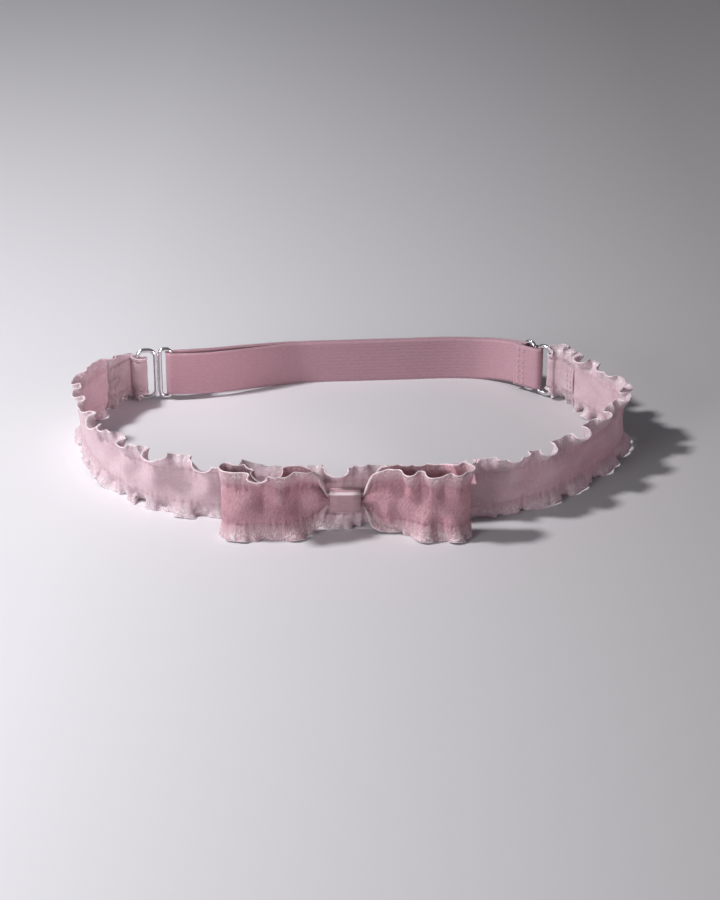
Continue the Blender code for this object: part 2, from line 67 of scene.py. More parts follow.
# Plan of the band's middle line, from the left link round the front to the right one.
# lean_deg tips the top of the panel outwards.
BAND_PLAN = (
    # x_mm, y_mm, lean_deg
    (-107, 48.5, 0),
    (-114, 36.5, 0),
    (-118.5, 20, 0),
    (-116, 3, 0),
    (-109.5, -15, 0),
    (-101, -33, 0),
    (-89.5, -48, 2),
    (-75.5, -57.5, 2),
    (-59.5, -62, 0),
    (-40, -65.5, 0),
    (-20, -69.3, 0),
    (-3.5, -70.6, 0),
    (14, -69.5, 0),
    (34, -67.5, 0),
    (54.5, -63.5, 3),
    (72, -56.5, 3),
    (87, -45.5, 0),
    (99.5, -31, 0),
    (110, -16, 0),
    (117, -2, 0),
    (119.5, 11, 0),
    (116.5, 24, 0),
    (109, 37, 0),
    (101, 49, 0),
)
BAND_STEPS = 780
BAND_FLAP_STEPS = 30
BAND_FLAP_CLOSES = 8.0
BAND_CLEARS_LINK = 3.5
BAND_DEPTHS = (6.3, 5.9, 5.2, 4.5, 3.7, 2.9, 2.1, 1.4, 0.7)
BAND_PANEL_SHARES = tuple(share / 15.0 for share in range(16))
FOLD_STEPS = 16

# Ruffle waves of a ribbon's lower and upper edge. drift_rad shifts the spacing of the waves
# and swell their size, each along a slow sine of its own length.
BAND_WAVES = (
    # length_mm, mean_deg, swing_deg, drift_rad, drift_length_mm, swell, swell_length_mm
    (11.5, 0.0, 36.0, 1.1, 59.0, 0.30, 43.0),
    (15.5, 0.0, 36.0, 1.3, 71.0, 0.30, 53.0),
)
BOW_WAVES = (
    (19.0, 12.0, 14.0, 0.9, 47.0, 0.25, 37.0),
    (15.0, 8.0, 5.0, 0.9, 53.0, 0.25, 41.0),
)

# The largest folds of the band's flounces, laid over its waves. Lengths along the band,
# here and for its waves, start at the fold in the left link.
BAND_LOWER_FOLDS = (
    # along_mm, width_mm, swing_deg
    (43, 6, -14),
    (54, 18, 30),
    (66, 6, -18),
    (79, 9, 30),
    (85, 4, -8),
    (90, 9, 34),
    (98.5, 4, -14),
    (104, 9, 40),
    (112, 9, 10),
    (119, 5, -20),
    (123.5, 5, 4),
    (130.5, 6, -34),
    (135.5, 5, 12),
    (142, 8, -4),
    (147, 4, -22),
    (152, 11, 26),
    (166, 9, -8),
    (217, 16, 24),
    (276, 12, -14),
    (289, 10, 6),
    (299, 8, -12),
    (307, 17, 26),
    (318, 5, -26),
    (328.5, 17, 30),
    (339.5, 5, -26),
    (350.5, 17, 34),
    (362, 6, -18),
    (375, 15, 40),
)
BAND_UPPER_FOLDS = (
    # along_mm, width_mm, swing_deg
    (34, 18, 8),
    (50, 13, 36),
    (59.5, 6, -12),
    (67.5, 10, 34),
    (75, 5, -10),
    (83, 11, 40),
    (91, 5, -10),
    (98, 8, 54),
    (106, 8, 30),
    (116.5, 9, -30),
    (124, 5, 34),
    (129, 5, 6),
    (134, 6, -26),
    (141, 8.5, 50),
    (152, 10, -12),
    (184, 44, -72),
    (162.5, 9, 74),
    (167, 7, 44),
    (173, 12, 40),
    (216.5, 12, 50),
    (227, 9, 4),
    (252, 36, -72),
    (271, 6, 18),
    (279, 8, -30),
    (289.5, 9, 34),
    (298.5, 6, -8),
    (305.5, 7, 52),
    (315, 11, -34),
    (327, 9, 48),
    (335, 8, -26),
    (347, 9, 24),
    (359, 8, -50),
    (369, 7, 34),
    (376, 6, -18),
    (383, 7, 44),
    (396, 9, -22),
)

# Links: flat figure-of-eight castings that stand on edge
LINK_HEIGHT = 25.0
LINK_MIDDLE = 13.2
LINK_BAR = 2.0
LINK_THICKNESS = 1.9
LINK_WIDE_SLOT = 6.2
LINK_NARROW_SLOT = 3.0
LINK_CENTRE_BAR = 4.1
WIDE_BAR_ALONG = -(LINK_CENTRE_BAR + LINK_BAR) / 2.0 - LINK_WIDE_SLOT
NARROW_BAR_ALONG = (LINK_CENTRE_BAR + LINK_BAR) / 2.0 + LINK_NARROW_SLOT
LINKS = {
    # name: x_mm, y_mm, heading_deg from the wide slot to the narrow one
    "link_left": (-87.9, 59.2, 8.0),
    "link_right": (85.4, 66.2, 138.0),
}

# How each end of the band sits in its link: reach_mm is how far the fold stands past
# the bar's centre, flap_mm is its length on the inner side, and the flares open the
# flounces where they leave the slot.
# The flounces are gathered in the slot, and are at full depth again past full_mm.
BAND_ENDS = {
    # link: reach_mm, flap_mm, lower_flare_deg, upper_flare_deg, drop_mm,
    #   lower_full_mm, upper_full_mm
    "link_left": (4.2, 21.0, 26.0, 10.0, 1.3, 9.0, 32.0),
    "link_right": (1.9, 15.5, 40.0, 10.0, 0.0, 6.0, 6.0),
}
SLOT_FLOUNCE_SHARE = 0.22
SLOT_HALF_LENGTH = 3.4
END_ZONE = (16.0, 24.0)
BOW_ZONE = (42.0, 56.0)

# Bow: plan of the closed strip, from the middle of its back layer to the left
BOW_PLAN = (
    # x_mm, y_mm
    (-1.4, -73.75),
    (-8, -73.7),
    (-13, -73.4),
    (-22, -73.2),
    (-34, -72.8),
    (-47, -73.6),
    (-51, -77.3),
    (-47, -81.2),
    (-34, -82.6),
    (-22, -80.6),
    (-13, -76.6),
    (-8, -75.2),
    (-1.4, -75.05),
    (5.2, -75.2),
    (10.2, -76.3),
    (20, -78.4),
    (32, -82.4),
    (44.5, -82.6),
    (48.8, -77.6),
    (44.5, -73),
    (32, -72.6),
    (20, -73),
    (10.2, -73.4),
    (5.2, -73.7),
)
BOW_MIDDLE = (-1.4, -74.4, 14.2)
BOW_STEPS = 420
BOW_DEPTHS = (6.8, 6.3, 5.5, 4.7, 3.9, 3.1, 2.3, 1.5, 0.7)
BOW_PANEL_SHARES = BAND_PANEL_SHARES
BOW_LIFT = 1.6
BOW_END_SWING = 12.0
BOW_END_ZONE = (1.5, 6.0)
BOW_PLEATS = 2.0
BOW_OPENS = (0.1, 0.7)
BOW_LOWER_FOLDS = (
    # along_mm, width_mm, swing_deg
    (122, 14, -38),
)
BOW_UPPER_FOLDS = (
    # along_mm, width_mm, swing_deg
    (61, 7, 2),
    (75, 15, 24),
    (69.3, 4.2, 54),
    (31, 8, -58),
    (87, 8, 18),
    (94, 7, 0),
    (122, 9, 14),
    (131, 7, 24),
    (137, 5, 6),
    (143, 6, 28),
    (152, 6, 8),
)
BOW_PINCH = (
    # from_middle_mm, height_share, pleat_mm
    (0.0, 0.22, 0.10),
    (7.6, 0.22, 0.10),
    (9.0, 0.50, 0.50),
    (11.0, 0.84, 1.00),
    (14.0, 1.01, 0.80),
    (18.0, 1.08, 0.30),
    (26.0, 1.08, 0.0),
)

# Knot: plain satin wrap round the pinched middle of the bow
KNOT_WIDTH = 12.5
KNOT_HEIGHT = 9.8
KNOT_DEPTH = 5.5
KNOT_WALL = 1.0
KNOT_CORNER = 1.6
KNOT_CORNER_STEPS = 8
KNOT_ROWS = (
    # along_share, swell_mm
    (0.0, 0.0),
    (0.3, 0.15),
    (0.7, 0.15),
    (1.0, 0.0),
)

# Strap: 20 mm elastic, doubled. Its plan is the line between the two layers, from the
# left link's narrow bar to the right link's centre bar.
STRAP_WIDTH = 20.0
STRAP_WALL = 1.2
STRAP_PLAN = (
    # x_mm, y_mm
    (-69.5, 62.6),
    (-57.5, 67),
    (-45.5, 72.3),
    (-33.5, 77),
    (-21.5, 80),
    (4.5, 82.1),
    (24.5, 83.6),
    (44.5, 85.2),
    (56.5, 84.8),
    (64.5, 82.8),
    (72, 78.6),
    (78.7, 72.2),
)
STRAP_LAYERS = (
    # along_mm, inner_mm, outer_mm, foot_mm
    (0, 1.9, 1.9, 3.2),
    (12, 2.4, 2.6, 2.7),
    (30, 2.5, 2.5, 1.6),
    (45, 1.9, 1.9, 0.6),
    (62, 0.8, 0.8, 0),
    (145, 0.8, 0.8, 0),
    (158, 0.8, 1.2, 1.4),
    (168, 0.7, 1.9, 2.8),
    (180, 0.7, 1.9, 3.2),
)
STRAP_STEPS = 240
STRAP_FLAP = 11.6
STRAP_FLAP_STEPS = 20
STRAP_FLAP_OFFSETS = (1.9, 2.25)
STRAP_INNER_END = 8.7

# A flounce's folds hang over to both sides, by this share of their steepness
FOLD_OVERHANG = 0.52
STEEPEST_FOLD = 1.9

# Small waves of the very edge of the lower and the upper flounce, over their folds
EDGE_CURLS = (
    # length_mm, swing_deg, drift_rad, drift_length_mm
    (6.7, 3.5, 1.9, 31.0),
    (7.9, 3.0, 2.1, 37.0),
)

# Gathers: short puckers on both sides of the seams between panel and flounce
PUCKER_LENGTHS = (3.4, 2.1)
PUCKER_SECOND = 0.6
PUCKER_DRIFT = 1.3
PUCKER_DRIFT_LENGTH = 23.0
PUCKER_COUNTER = 1.7
PUCKER_SIZE = 0.24
PUCKER_REACH_PANEL = 1.0
PUCKER_REACH_FLOUNCE = 2.2
SEAM_GROOVE = 0.4
SEAM_GROOVE_WIDTH = 1.3

# Soft hollows and swells of the panels, pressed along their normals
BUCKLE_SPREAD = 1.2
BAND_BUCKLES = (
    # along_mm, width_mm, panel_share, share_width, out_mm
    (22, 16, 0.50, 0.50, -0.78),
    (40, 11, 0.40, 0.50, 0.78),
    (56, 12, 0.60, 0.45, 0.91),
    (74, 12, 0.50, 0.50, -1.04),
    (90, 11, 0.55, 0.45, 0.78),
    (103, 9, 0.35, 0.45, 1.09),
    (114.5, 9, 0.70, 0.50, -2.37),
    (123.5, 7, 0.60, 0.55, 1.64),
    (131, 8, 0.70, 0.45, -1.46),
    (139, 7, 0.60, 0.55, 1.64),
    (151, 12, 0.60, 0.60, -2.73),
    (163, 8, 0.50, 0.50, 1.64),
    (172, 9, 0.45, 0.45, -0.91),
    (284, 14, 0.50, 0.50, 0.78),
    (300, 12, 0.40, 0.45, -0.78),
    (318, 14, 0.60, 0.50, 0.91),
    (336, 12, 0.45, 0.45, -0.91),
    (352, 13, 0.60, 0.50, 0.91),
    (372, 12, 0.50, 0.50, -1.04),
    (391, 13, 0.55, 0.50, 0.91),
    (410, 12, 0.50, 0.50, -0.78),
    (426, 10, 0.50, 0.45, 0.52),
)
# Shaded hollows in the lobes of the band's lower flounce
BAND_POCKETS = (
    # along_mm, width_mm, below_seam_mm, height_mm, in_mm
    (90.5, 4.5, 3.2, 3.6, 1.4),
    (110, 6, 3, 4.2, 3),
    (126.5, 5, 3, 4.2, 3),
    (142.5, 7, 3.2, 4.4, 3.2),
    (160, 9, 3.4, 4.4, 2.2),
)
BOW_BUCKLES = (
    # along_mm, width_mm, panel_share, share_width, out_mm
    (20, 14, 0.50, 0.45, -0.58),
    (32, 11, 0.95, 0.70, -2.8),
    (61, 11, 0.45, 0.60, 1.95),
    (70.5, 5.5, 0.70, 0.60, -2.83),
    (76.5, 6, 0.80, 0.40, 2.17),
    (86, 9, 0.45, 0.55, -2.61),
    (92, 6, 0.80, 0.35, 1.74),
    (115, 6, 0.12, 0.45, -2.4),
    (122, 5, 0.20, 0.60, 1.3),
    (127.5, 4.5, 0.85, 0.45, -1.01),
    (131.5, 5, 0.90, 0.45, 1.3),
    (136, 4, 0.85, 0.50, -1.45),
    (140.5, 5, 0.90, 0.45, 1.3),
    (145.5, 4.5, 0.85, 0.50, -1.45),
    (150, 5.5, 0.90, 0.40, 1.16),
    (138, 6, 0.05, 0.40, 1.45),
    (143, 4.5, 0.05, 0.40, -1.3),
    (148.5, 6, 0.05, 0.40, 1.45),
    (172, 13, 0.50, 0.45, -0.58),
    (190, 12, 0.50, 0.45, 0.58),
)

# Overlocked edges: thread wrapped over the raw edge, with one bead for each stitch
THREAD_RADIUS = 0.25
THREAD_BEAD = 0.12
THREAD_PITCH = 0.95
THREAD_STEP = THREAD_PITCH / 4.0
THREAD_SIDES = 6

# Sewing: rows across the band's folded ends, and a zigzag on the strap's flap. The rows'
# places are lengths from the cut end, and a rise is the share of a stitch's radius that
# its centre stands proud of the cloth.
STITCH_LENGTH = 1.7
STITCH_SPACE = 0.9
STITCH_RADIUS = 0.2
STITCH_STEPS = 5
STITCH_TAPER = 0.25
STITCH_UP = (0.3, 0.4, 0.2)
BAND_STITCH_ROWS = (1.5, 4.0)
BAND_STITCH_RISE = 0.4
STRAP_STITCH_ROWS = (2.2, 5.0)
STRAP_STITCH_SPAN = (0.04, 0.96)
STRAP_STITCH_RISE = 0.3
STRAP_ZIGZAGS = 15
STRAP_ZIGZAG_WIDTH = 1.5

# Strap: the elastic's shell, a little thinner than its solid
STRAP_SHELL = 1.0
STRAP_ROWS = 15

# Wire rings of a link, as centre lines along its heading
WIRE_RADIUS = 1.0
WIRE_SIDES = 12
WIRE_SQUASH = 0.95
RING_INNER_BAR = WIRE_RADIUS + 0.03
RING_CORNER_STEPS = 8
RINGS = (
    # first_mm, last_mm, corner_mm
    (WIDE_BAR_ALONG, -RING_INNER_BAR, 3.5),
    (RING_INNER_BAR, NARROW_BAR_ALONG, 2.2),
)

# Chiffon colours: light and deep, on the panel and on the flounces, then at the seams, darker from
# doubled cloth and painted gather shade
RIBBON_COLOURS = (
    ((0.66, 0.48, 0.525), (0.52, 0.345, 0.39)),
    ((0.70, 0.53, 0.57), (0.51, 0.36, 0.405)),
    (0.52, 0.345, 0.39),
)
BOW_COLOURS = (
    ((0.60, 0.33, 0.38), (0.415, 0.19, 0.23)),
    ((0.67, 0.44, 0.485), (0.50, 0.295, 0.34)),
    (0.43, 0.205, 0.25),
)

# Cells of the chiffon's textures in a metre, along and up the cloth
CRINKLE_SLANT_DEG = 40.0
CRINKLE_CELLS = (1600.0, 700.0)
YARN_CELLS = (4200.0, 900.0)
PATCH_CELLS = (90.0, 140.0)
SPECK_CELLS = (1900.0, 1500.0)
# White of the painted glints on the yarns of the flounces
PAINTED_GLINT_COLOUR = (0.97, 0.90, 0.92)

# Light and deep colours of the threads, the satin and the elastic
THREAD_COLOURS = ((0.97, 0.86, 0.89), (0.82, 0.62, 0.68))
SEWING_COLOURS = ((0.66, 0.44, 0.50), (0.52, 0.32, 0.38))
SATIN_COLOURS = ((0.47, 0.28, 0.31), (0.40, 0.225, 0.26))
# White of the painted highlight along the knot's top edge
SATIN_PAINTED_HIGHLIGHT = (0.95, 0.78, 0.82)
ELASTIC_COLOURS = ((0.48, 0.285, 0.335), (0.42, 0.23, 0.28))

# The gathers shift the zones up a ribbon by half of this share of its height each way
GATHER_CELLS = (150.0, 40.0)
GATHER_SHIFT = 0.10

# Zones up a ribbon, as shares of its height, each with a grey: where the panel is, where its
# gathered seams are,
#  darker from doubled cloth with painted gather shade fading into the flounces, and where the
#  flounces get painted glints of their yarns
PANEL_STOPS = ((0.21, 0.0), (0.26, 1.0), (0.74, 1.0), (0.79, 0.0))
SEAM_AND_SHADE_STOPS = (
    (0.10, 0.0),
    (0.20, 0.35),
    (0.232, 0.8),
    (0.262, 0.0),
    (0.738, 0.0),
    (0.768, 0.8),
    (0.80, 0.35),
    (0.90, 0.0),
)
PAINTED_GLINT_STOPS = (
    (0.0, 0.6),
    (0.10, 0.35),
    (0.17, 0.0),
    (0.83, 0.0),
    (0.90, 0.35),
    (1.0, 0.6),
)

# Painted highlight on the knot's satin: strongest along its top edge and, less so, at its foot
KNOT_HIGHLIGHT_STOPS = (
    (0.02, 0.4),
    (0.07, 0.0),
    (0.84, 0.0),
    (0.90, 1.0),
    (0.95, 0.8),
    (0.98, 0.1),
)

# Camera: the photo's view of the belt, 25 degrees down from the front
CAMERA_PLACE = (0.0045, -0.9021, 0.4226)
CAMERA_TILT_DEG = 65.0
CAMERA_LENS = 91.32
FLOOR_SIZE = 3.0

LAMPS = {
    # name: place_m, target_m, size_m, power_w, colour, spread_deg
    "key": ((-0.70, -0.10, 0.80), (0.0, 0.0, 0.0), 0.14, 9.2, (1.0, 0.985, 1.0), 180.0),
    "front_fill": ((-0.77, -0.97, 0.36), (0.0, 0.0, 0.02), 0.5, 6.0, (1.0, 1.0, 1.0), 180.0),
    "inner_fill": (
        (0.055, -0.055, 0.045), (-0.095, 0.06, 0.022), 0.06, 0.010, (1.0, 0.74, 0.79), 45.0
    ),
}
SKY_COLOUR = (0.93, 0.94, 1.0)
SKY_STRENGTH = 0.125


def fade(distance, zone):
    """1 up to the near end of the zone, falling smoothly to 0 at its far end."""
    near, far = zone
    value = np.clip((far - np.asarray(distance)) / (far - near), 0.0, 1.0)
    return value * value * (3.0 - 2.0 * value)


def mix(first, second, share):
    return first * (1.0 - share) + second * share


def curve_through(rows, closed=False, per_span=24):
    """Catmull-Rom curve through the rows, column by column."""
    knots = np.array(rows, float)
    if closed:
        knots = np.vstack([knots[-1], knots, knots[:2]])
    else:
        before = 2.0 * knots[0] - knots[1]
        after = 2.0 * knots[-1] - knots[-2]
        knots = np.vstack([before, knots, after])
    share = np.linspace(0.0, 1.0, per_span, endpoint=False)[:, None]
    spans = []
    for a, b, c, d in zip(knots, knots[1:], knots[2:], knots[3:]):
        linear = (c - a) * share
        square = (2.0 * a - 5.0 * b + 4.0 * c - d) * share**2
        cube = (3.0 * b - a - 3.0 * c + d) * share**3
        spans.append(0.5 * (2.0 * b + linear + square + cube))
    return np.vstack([*spans, knots[-2][None]])


def lengths_along(line):
    """Length along a line at each of its points."""
    steps = np.linalg.norm(np.diff(line, axis=0), axis=1)
    return np.concatenate([[0.0], np.cumsum(steps)])


def read_at(wanted, along, values):
    """The values' columns at the wanted lengths along."""
    return np.column_stack([np.interp(wanted, along, one) for one in values.T])


def resample(points, steps):
    """The curve again, in steps of equal length."""
    along = lengths_along(points[:, :2])
    return read_at(np.linspace(0.0, along[-1], steps + 1), along, points)


def right_normals(points, closed=False):
    """Unit normal at each point of a plan curve, to the right of its direction."""
    if closed:
        ahead = np.roll(points, -1, axis=0) - np.roll(points, 1, axis=0)
    else:
        ahead = np.gradient(points[:, :2], axis=0)
    ahead = ahead[:, :2] / np.linalg.norm(ahead[:, :2], axis=1)[:, None]
    return np.column_stack([ahead[:, 1], -ahead[:, 0]])


def rounded_rectangle(width, height, radius, corner_steps):
    """Points of the outline round its centre, corner by corner, anticlockwise."""
    points = []
    for quarter, (side, top) in enumerate(((1, 1), (-1, 1), (-1, -1), (1, -1))):
        for step in range(corner_steps + 1):
            angle = math.pi / 2.0 * (quarter + step / corner_steps)
            across = side * (width / 2.0 - radius) + radius * math.cos(angle)
            up = top * (height / 2.0 - radius) + radius * math.sin(angle)
            points.append((across, up))
    return points


def surface_normals(grid, closed=False):
    """Unit normals of a grid of points, along its first index and up its second."""
    if closed:
        along = np.roll(grid, -1, axis=0) - np.roll(grid, 1, axis=0)
    else:
        along = np.gradient(grid, axis=0)
    normal = np.cross(along, np.gradient(grid, axis=1))
    return normal / np.linalg.norm(normal, axis=2)[:, :, None]


def sheet_solid(grid, wall, closed=False):
    """Closed wall round a grid of middle points, half its thickness to each side."""
    half = surface_normals(grid, closed) * wall / 2.0
    count, rows = grid.shape[:2]
    points = np.concatenate([grid + half, grid - half]).reshape(-1, 3)

    def index(i, j, side):
        return (side * count + i % count) * rows + j

    faces = []
    for i in range(count if closed else count - 1):
        for j in range(rows - 1):
            corners = ((i, j), (i + 1, j), (i + 1, j + 1), (i, j + 1))
            faces.append([index(a, b, 0) for a, b in corners])
            faces.append([index(a, b, 1) for a, b in reversed(corners)])
        for j, order in ((0, 1), (rows - 1, -1)):
            rim = [index(i, j, 1), index(i + 1, j, 1), index(i + 1, j, 0), index(i, j, 0)]
            faces.append(rim[::order])
    if not closed:
        for i, order in ((0, 1), (count - 1, -1)):
            for j in range(rows - 1):
                end = [index(i, j, 0), index(i, j + 1, 0), index(i, j + 1, 1), index(i, j, 1)]
                faces.append(end[::order])
    return points, faces


def link_point(name, along, right=0.0):
    """Plan point of a link: along its heading, and to the right of it."""
    x, y, heading = LINKS[name]
    cos, sin = math.cos(math.radians(heading)), math.sin(math.radians(heading))
    return np.array([x + along * cos + right * sin, y + along * sin - right * cos])


def fold_round(name, bar_along, reach, radius):
    """Plan points of a fold round a link's bar, from its right side to its left."""
    angles = np.linspace(0.0, math.pi, FOLD_STEPS + 1)[1:-1]
    rounds = [(reach * math.sin(a), radius * math.cos(a)) for a in angles]
    return np.array([link_point(name, bar_along + out, side) for out, side in rounds])


def ruffle(along, wave):
    """Swing of a flounce in degrees: a wave of uneven length and size."""
    length, mean, swing, drift, drift_length, swell, swell_length = wave
    phase = TURN * along / length + drift * np.sin(TURN * along / drift_length)
    size = swing * (1.0 + swell * np.sin(TURN * along / swell_length + 1.0))
    return mean + size * np.sin(phase)


def hump(distance, width):
    """1 at no distance, falling smoothly to 1/e at half the width."""
    return np.exp(-((distance / (0.5 * width)) ** 2))


def lay_folds(swings, along, folds):
    """The folds of one edge, laid over its waves."""
    for fold_along, width, fold_swing in folds:
        swings = mix(swings, fold_swing, hump(along - fold_along, width))
    return swings


def held(swings, side):
    """The same waves, all leaning to one side, for where another layer lies close."""
    return side * (HELD_SWING + HELD_WAVE_SHARE * np.abs(swings))


def flounce_point(depth, swing):
    """How far out and how far from its seam a flounce reaches at a depth down it."""
    shares = (np.arange(FLOUNCE_PARTS) + 0.5) / FLOUNCE_PARTS
    curl = FLOUNCE_ROOT_SHARE + FLOUNCE_CURL_SHARE * depth / FLOUNCE_DEPTH * shares
    angles = math.radians(swing) * curl
    out = depth * np.mean(np.sin(angles))
    away = depth * np.mean(np.cos(angles))
    return out, away


def fine_swing(swing, along, depth, curl, share):
    """A flounce's swing at a depth down it, with the small waves of its edge added."""
    length, size, drift, drift_length = curl
    phase = TURN * along / length + drift * math.sin(TURN * along / drift_length)
    return swing + share * size * (depth / FLOUNCE_DEPTH) ** 2 * math.sin(phase)


def ribbon_profile(swings, flounce_shares, depths, panel_shares, along, curl_share):
    """(out, z) up the ribbon: lower flounce, panel and upper flounce."""
    head = PANEL_FOOT + PANEL_HEIGHT
    lower, upper = [], []
    for depth in depths:
        fine = [
            fine_swing(swing, along, depth, curl, curl_share)
            for swing, curl in zip(swings, EDGE_CURLS)
        ]
        lower.append(flounce_point(depth, fine[0]))
        upper.insert(0, flounce_point(depth, fine[1]))
    lower_share, upper_share = flounce_shares
    rows = [(out * lower_share, PANEL_FOOT - away * lower_share) for out, away in lower]
    for share in panel_shares:
        swing = mix(swings[0], swings[1], share)
        pucker = SEAM_PUCKER * abs(2.0 * share - 1.0) * math.sin(math.radians(2.0 * swing))
        rows.append((pucker, PANEL_FOOT + share * PANEL_HEIGHT))
    rows += [(out * upper_share, head + away * upper_share) for out, away in upper]
    return np.array(rows)


def band_line():
    """Plan points and lean of the whole band, from one cut end to the other."""
    radius = LINK_THICKNESS / 2.0 + SEAM_GAP + RIBBON_WALL / 2.0
    clear = WIDE_BAR_ALONG - BAND_CLEARS_LINK
    places = (WIDE_BAR_ALONG, clear)
    first = [(*link_point("link_left", place, -radius), 0.0) for place in places]
    last = [(*link_point("link_right", place, radius), 0.0) for place in reversed(places)]
    main = resample(curve_through([*first, *BAND_PLAN, *last]), BAND_STEPS)
    along = lengths_along(main[:, :2])
    normals = right_normals(main)
    close = RIBBON_SHELL + FLAP_GAP
    flaps = {}
    for name, bar, side in (("link_left", 0.0, 1.0), ("link_right", along[-1], -1.0)):
        from_bar = np.linspace(0.0, BAND_ENDS[name][1], BAND_FLAP_STEPS + 1)
        spacing = mix(close, 2.0 * radius, fade(from_bar, (0.0, BAND_FLAP_CLOSES)))[:, None]
        places = bar + side * from_bar
        beside = read_at(places, along, main[:, :2])
        flaps[name] = beside - spacing * read_at(places, along, normals)
    folds = {
        name: fold_round(name, WIDE_BAR_ALONG, BAND_ENDS[name][0], radius)
        for name in LINKS
    }
    left = [flaps["link_left"][::-1], folds["link_left"]]
    right = [folds["link_right"], flaps["link_right"]]
    plan = np.vstack([*left, main[:, :2], *right])
    flat = np.zeros(BAND_FLAP_STEPS + FOLD_STEPS)
    return plan, np.concatenate([flat, main[:, 2], flat])


def nest_flaps(swing, along, last):
    """The swing with the flounces of each flap laid along those of the band beside it."""
    first_flap = -np.interp(-along, along, swing)
    last_flap = -np.interp(2.0 * last - along, along, swing)
    return np.where(along < 0.0, first_flap, np.where(along > last, last_flap, swing))


def band_swings(plan, along, last, from_fold, flares, gathers):
    """Swing of the lower and the upper flounce at each point of the band's line."""
    at_end = fade(from_fold, END_ZONE)
    behind_bow = fade(np.abs(plan[:, 0] - BOW_MIDDLE[0]), BOW_ZONE) * (plan[:, 1] < 0.0)
    swings = []
    folds = (BAND_LOWER_FOLDS, BAND_UPPER_FOLDS)
    for wave, fold_rows, flare, gather in zip(BAND_WAVES, folds, flares, gathers):
        free = ruffle(along, wave)
        free = mix(free, held(free, -1.0), behind_bow)
        free = mix(free, held(free, 1.0), at_end)
        free = nest_flaps(lay_folds(free, along, fold_rows), along, last)
        swings.append(mix(free, flare, gather))
    return swings


def band_grid():
    plan, lean = band_line()
    normals = right_normals(plan)
    fold = BAND_FLAP_STEPS + FOLD_STEPS // 2
    along = lengths_along(plan)
    along -= along[fold]
    last = along[-1 - fold]
    from_fold = np.minimum(np.abs(along), np.abs(along - last))
    ends = [BAND_ENDS["link_left" if x < 0.0 else "link_right"] for x in plan[:, 0]]
    _, _, lower_flare, upper_flare, drop, lower_full, upper_full = np.array(ends).T
    gathers = [fade(from_fold, (SLOT_HALF_LENGTH, full)) for full in (lower_full, upper_full)]
    swings = band_swings(plan, along, last, from_fold, (lower_flare, upper_flare), gathers)
    flounce_shares = [mix(1.0, SLOT_FLOUNCE_SHARE, gather) for gather in gathers]
    middle = PANEL_FOOT + PANEL_HEIGHT / 2.0
    sections, outs = [], []
    for i, centre in enumerate(plan):
        profile = ribbon_profile(
            [one[i] for one in swings],
            [one[i] for one in flounce_shares],
            BAND_DEPTHS,
            BAND_PANEL_SHARES,
            along[i],
            1.0 - gathers[0][i],
        )
        out = profile[:, 0] + math.tan(math.radians(lean[i])) * (profile[:, 1] - middle)
        height = profile[:, 1] - drop[i] * gathers[0][i]
        sections.append(np.column_stack([centre + out[:, None] * normals[i], height]))
        outs.append(profile[:, 0])
    return np.array(sections) + hang_over(outs, normals, along), along


def bow_grid():
    plan = resample(curve_through(BOW_PLAN, closed=True), BOW_STEPS)[:-1]
    along = lengths_along(plan)
    normals = right_normals(plan, closed=True)
    centre_x, centre_y, centre_z = BOW_MIDDLE
    from_middle = np.abs(plan[:, 0] - centre_x)
    pinch = read_at(from_middle, np.array(BOW_PINCH)[:, 0], np.array(BOW_PINCH)[:, 1:])
    back = plan[:, 1] > centre_y
    at_end = fade(from_middle.max() - from_middle, BOW_END_ZONE)
    opened = fade(1.0 - pinch[:, 0], BOW_OPENS)
    swings = []
    for wave, folds in zip(BOW_WAVES, (BOW_LOWER_FOLDS, BOW_UPPER_FOLDS)):
        free = ruffle(along, wave)
        free = np.where(back, held(free, -1.0), free)
        free = lay_folds(mix(free, BOW_END_SWING, at_end), along, folds)
        swings.append(free * opened)
    sections, outs = [], []
    for i, centre in enumerate(plan):
        height_share, pleat = pinch[i]
        profile = ribbon_profile(
            [one[i] for one in swings],
            (1.0, 1.0),
            BOW_DEPTHS,
            BOW_PANEL_SHARES,
            along[i],
            opened[i],
        )
        places = np.linspace(0.0, 1.0, len(profile))
        pleats = pleat * np.cos(TURN * BOW_PLEATS * places)
        height = centre_z + (profile[:, 1] + BOW_LIFT - centre_z) * height_share
        points = centre + profile[:, :1] * normals[i]
        points[:, 1] -= pleats
        sections.append(np.column_stack([points, height]))
        outs.append(profile[:, 0])
    shifts = hang_over(outs, normals, along, closed=True)
    return np.array(sections) + shifts * opened[:, None, None], along


def knot_grid():
    """Rounded rectangle round the bow's middle, in rows along X."""
    x, y, z = BOW_MIDDLE
    rows = []
    for share, swell in KNOT_ROWS:
        deep = KNOT_DEPTH - KNOT_WALL + 2.0 * swell
        high = KNOT_HEIGHT - KNOT_WALL + 2.0 * swell
        ring = rounded_rectangle(deep, high, KNOT_CORNER + swell, KNOT_CORNER_STEPS)
        place = x + (share - 0.5) * KNOT_WIDTH
        rows.append([(place, y + out, z + up) for out, up in ring])
    return np.array(rows).transpose(1, 0, 2)


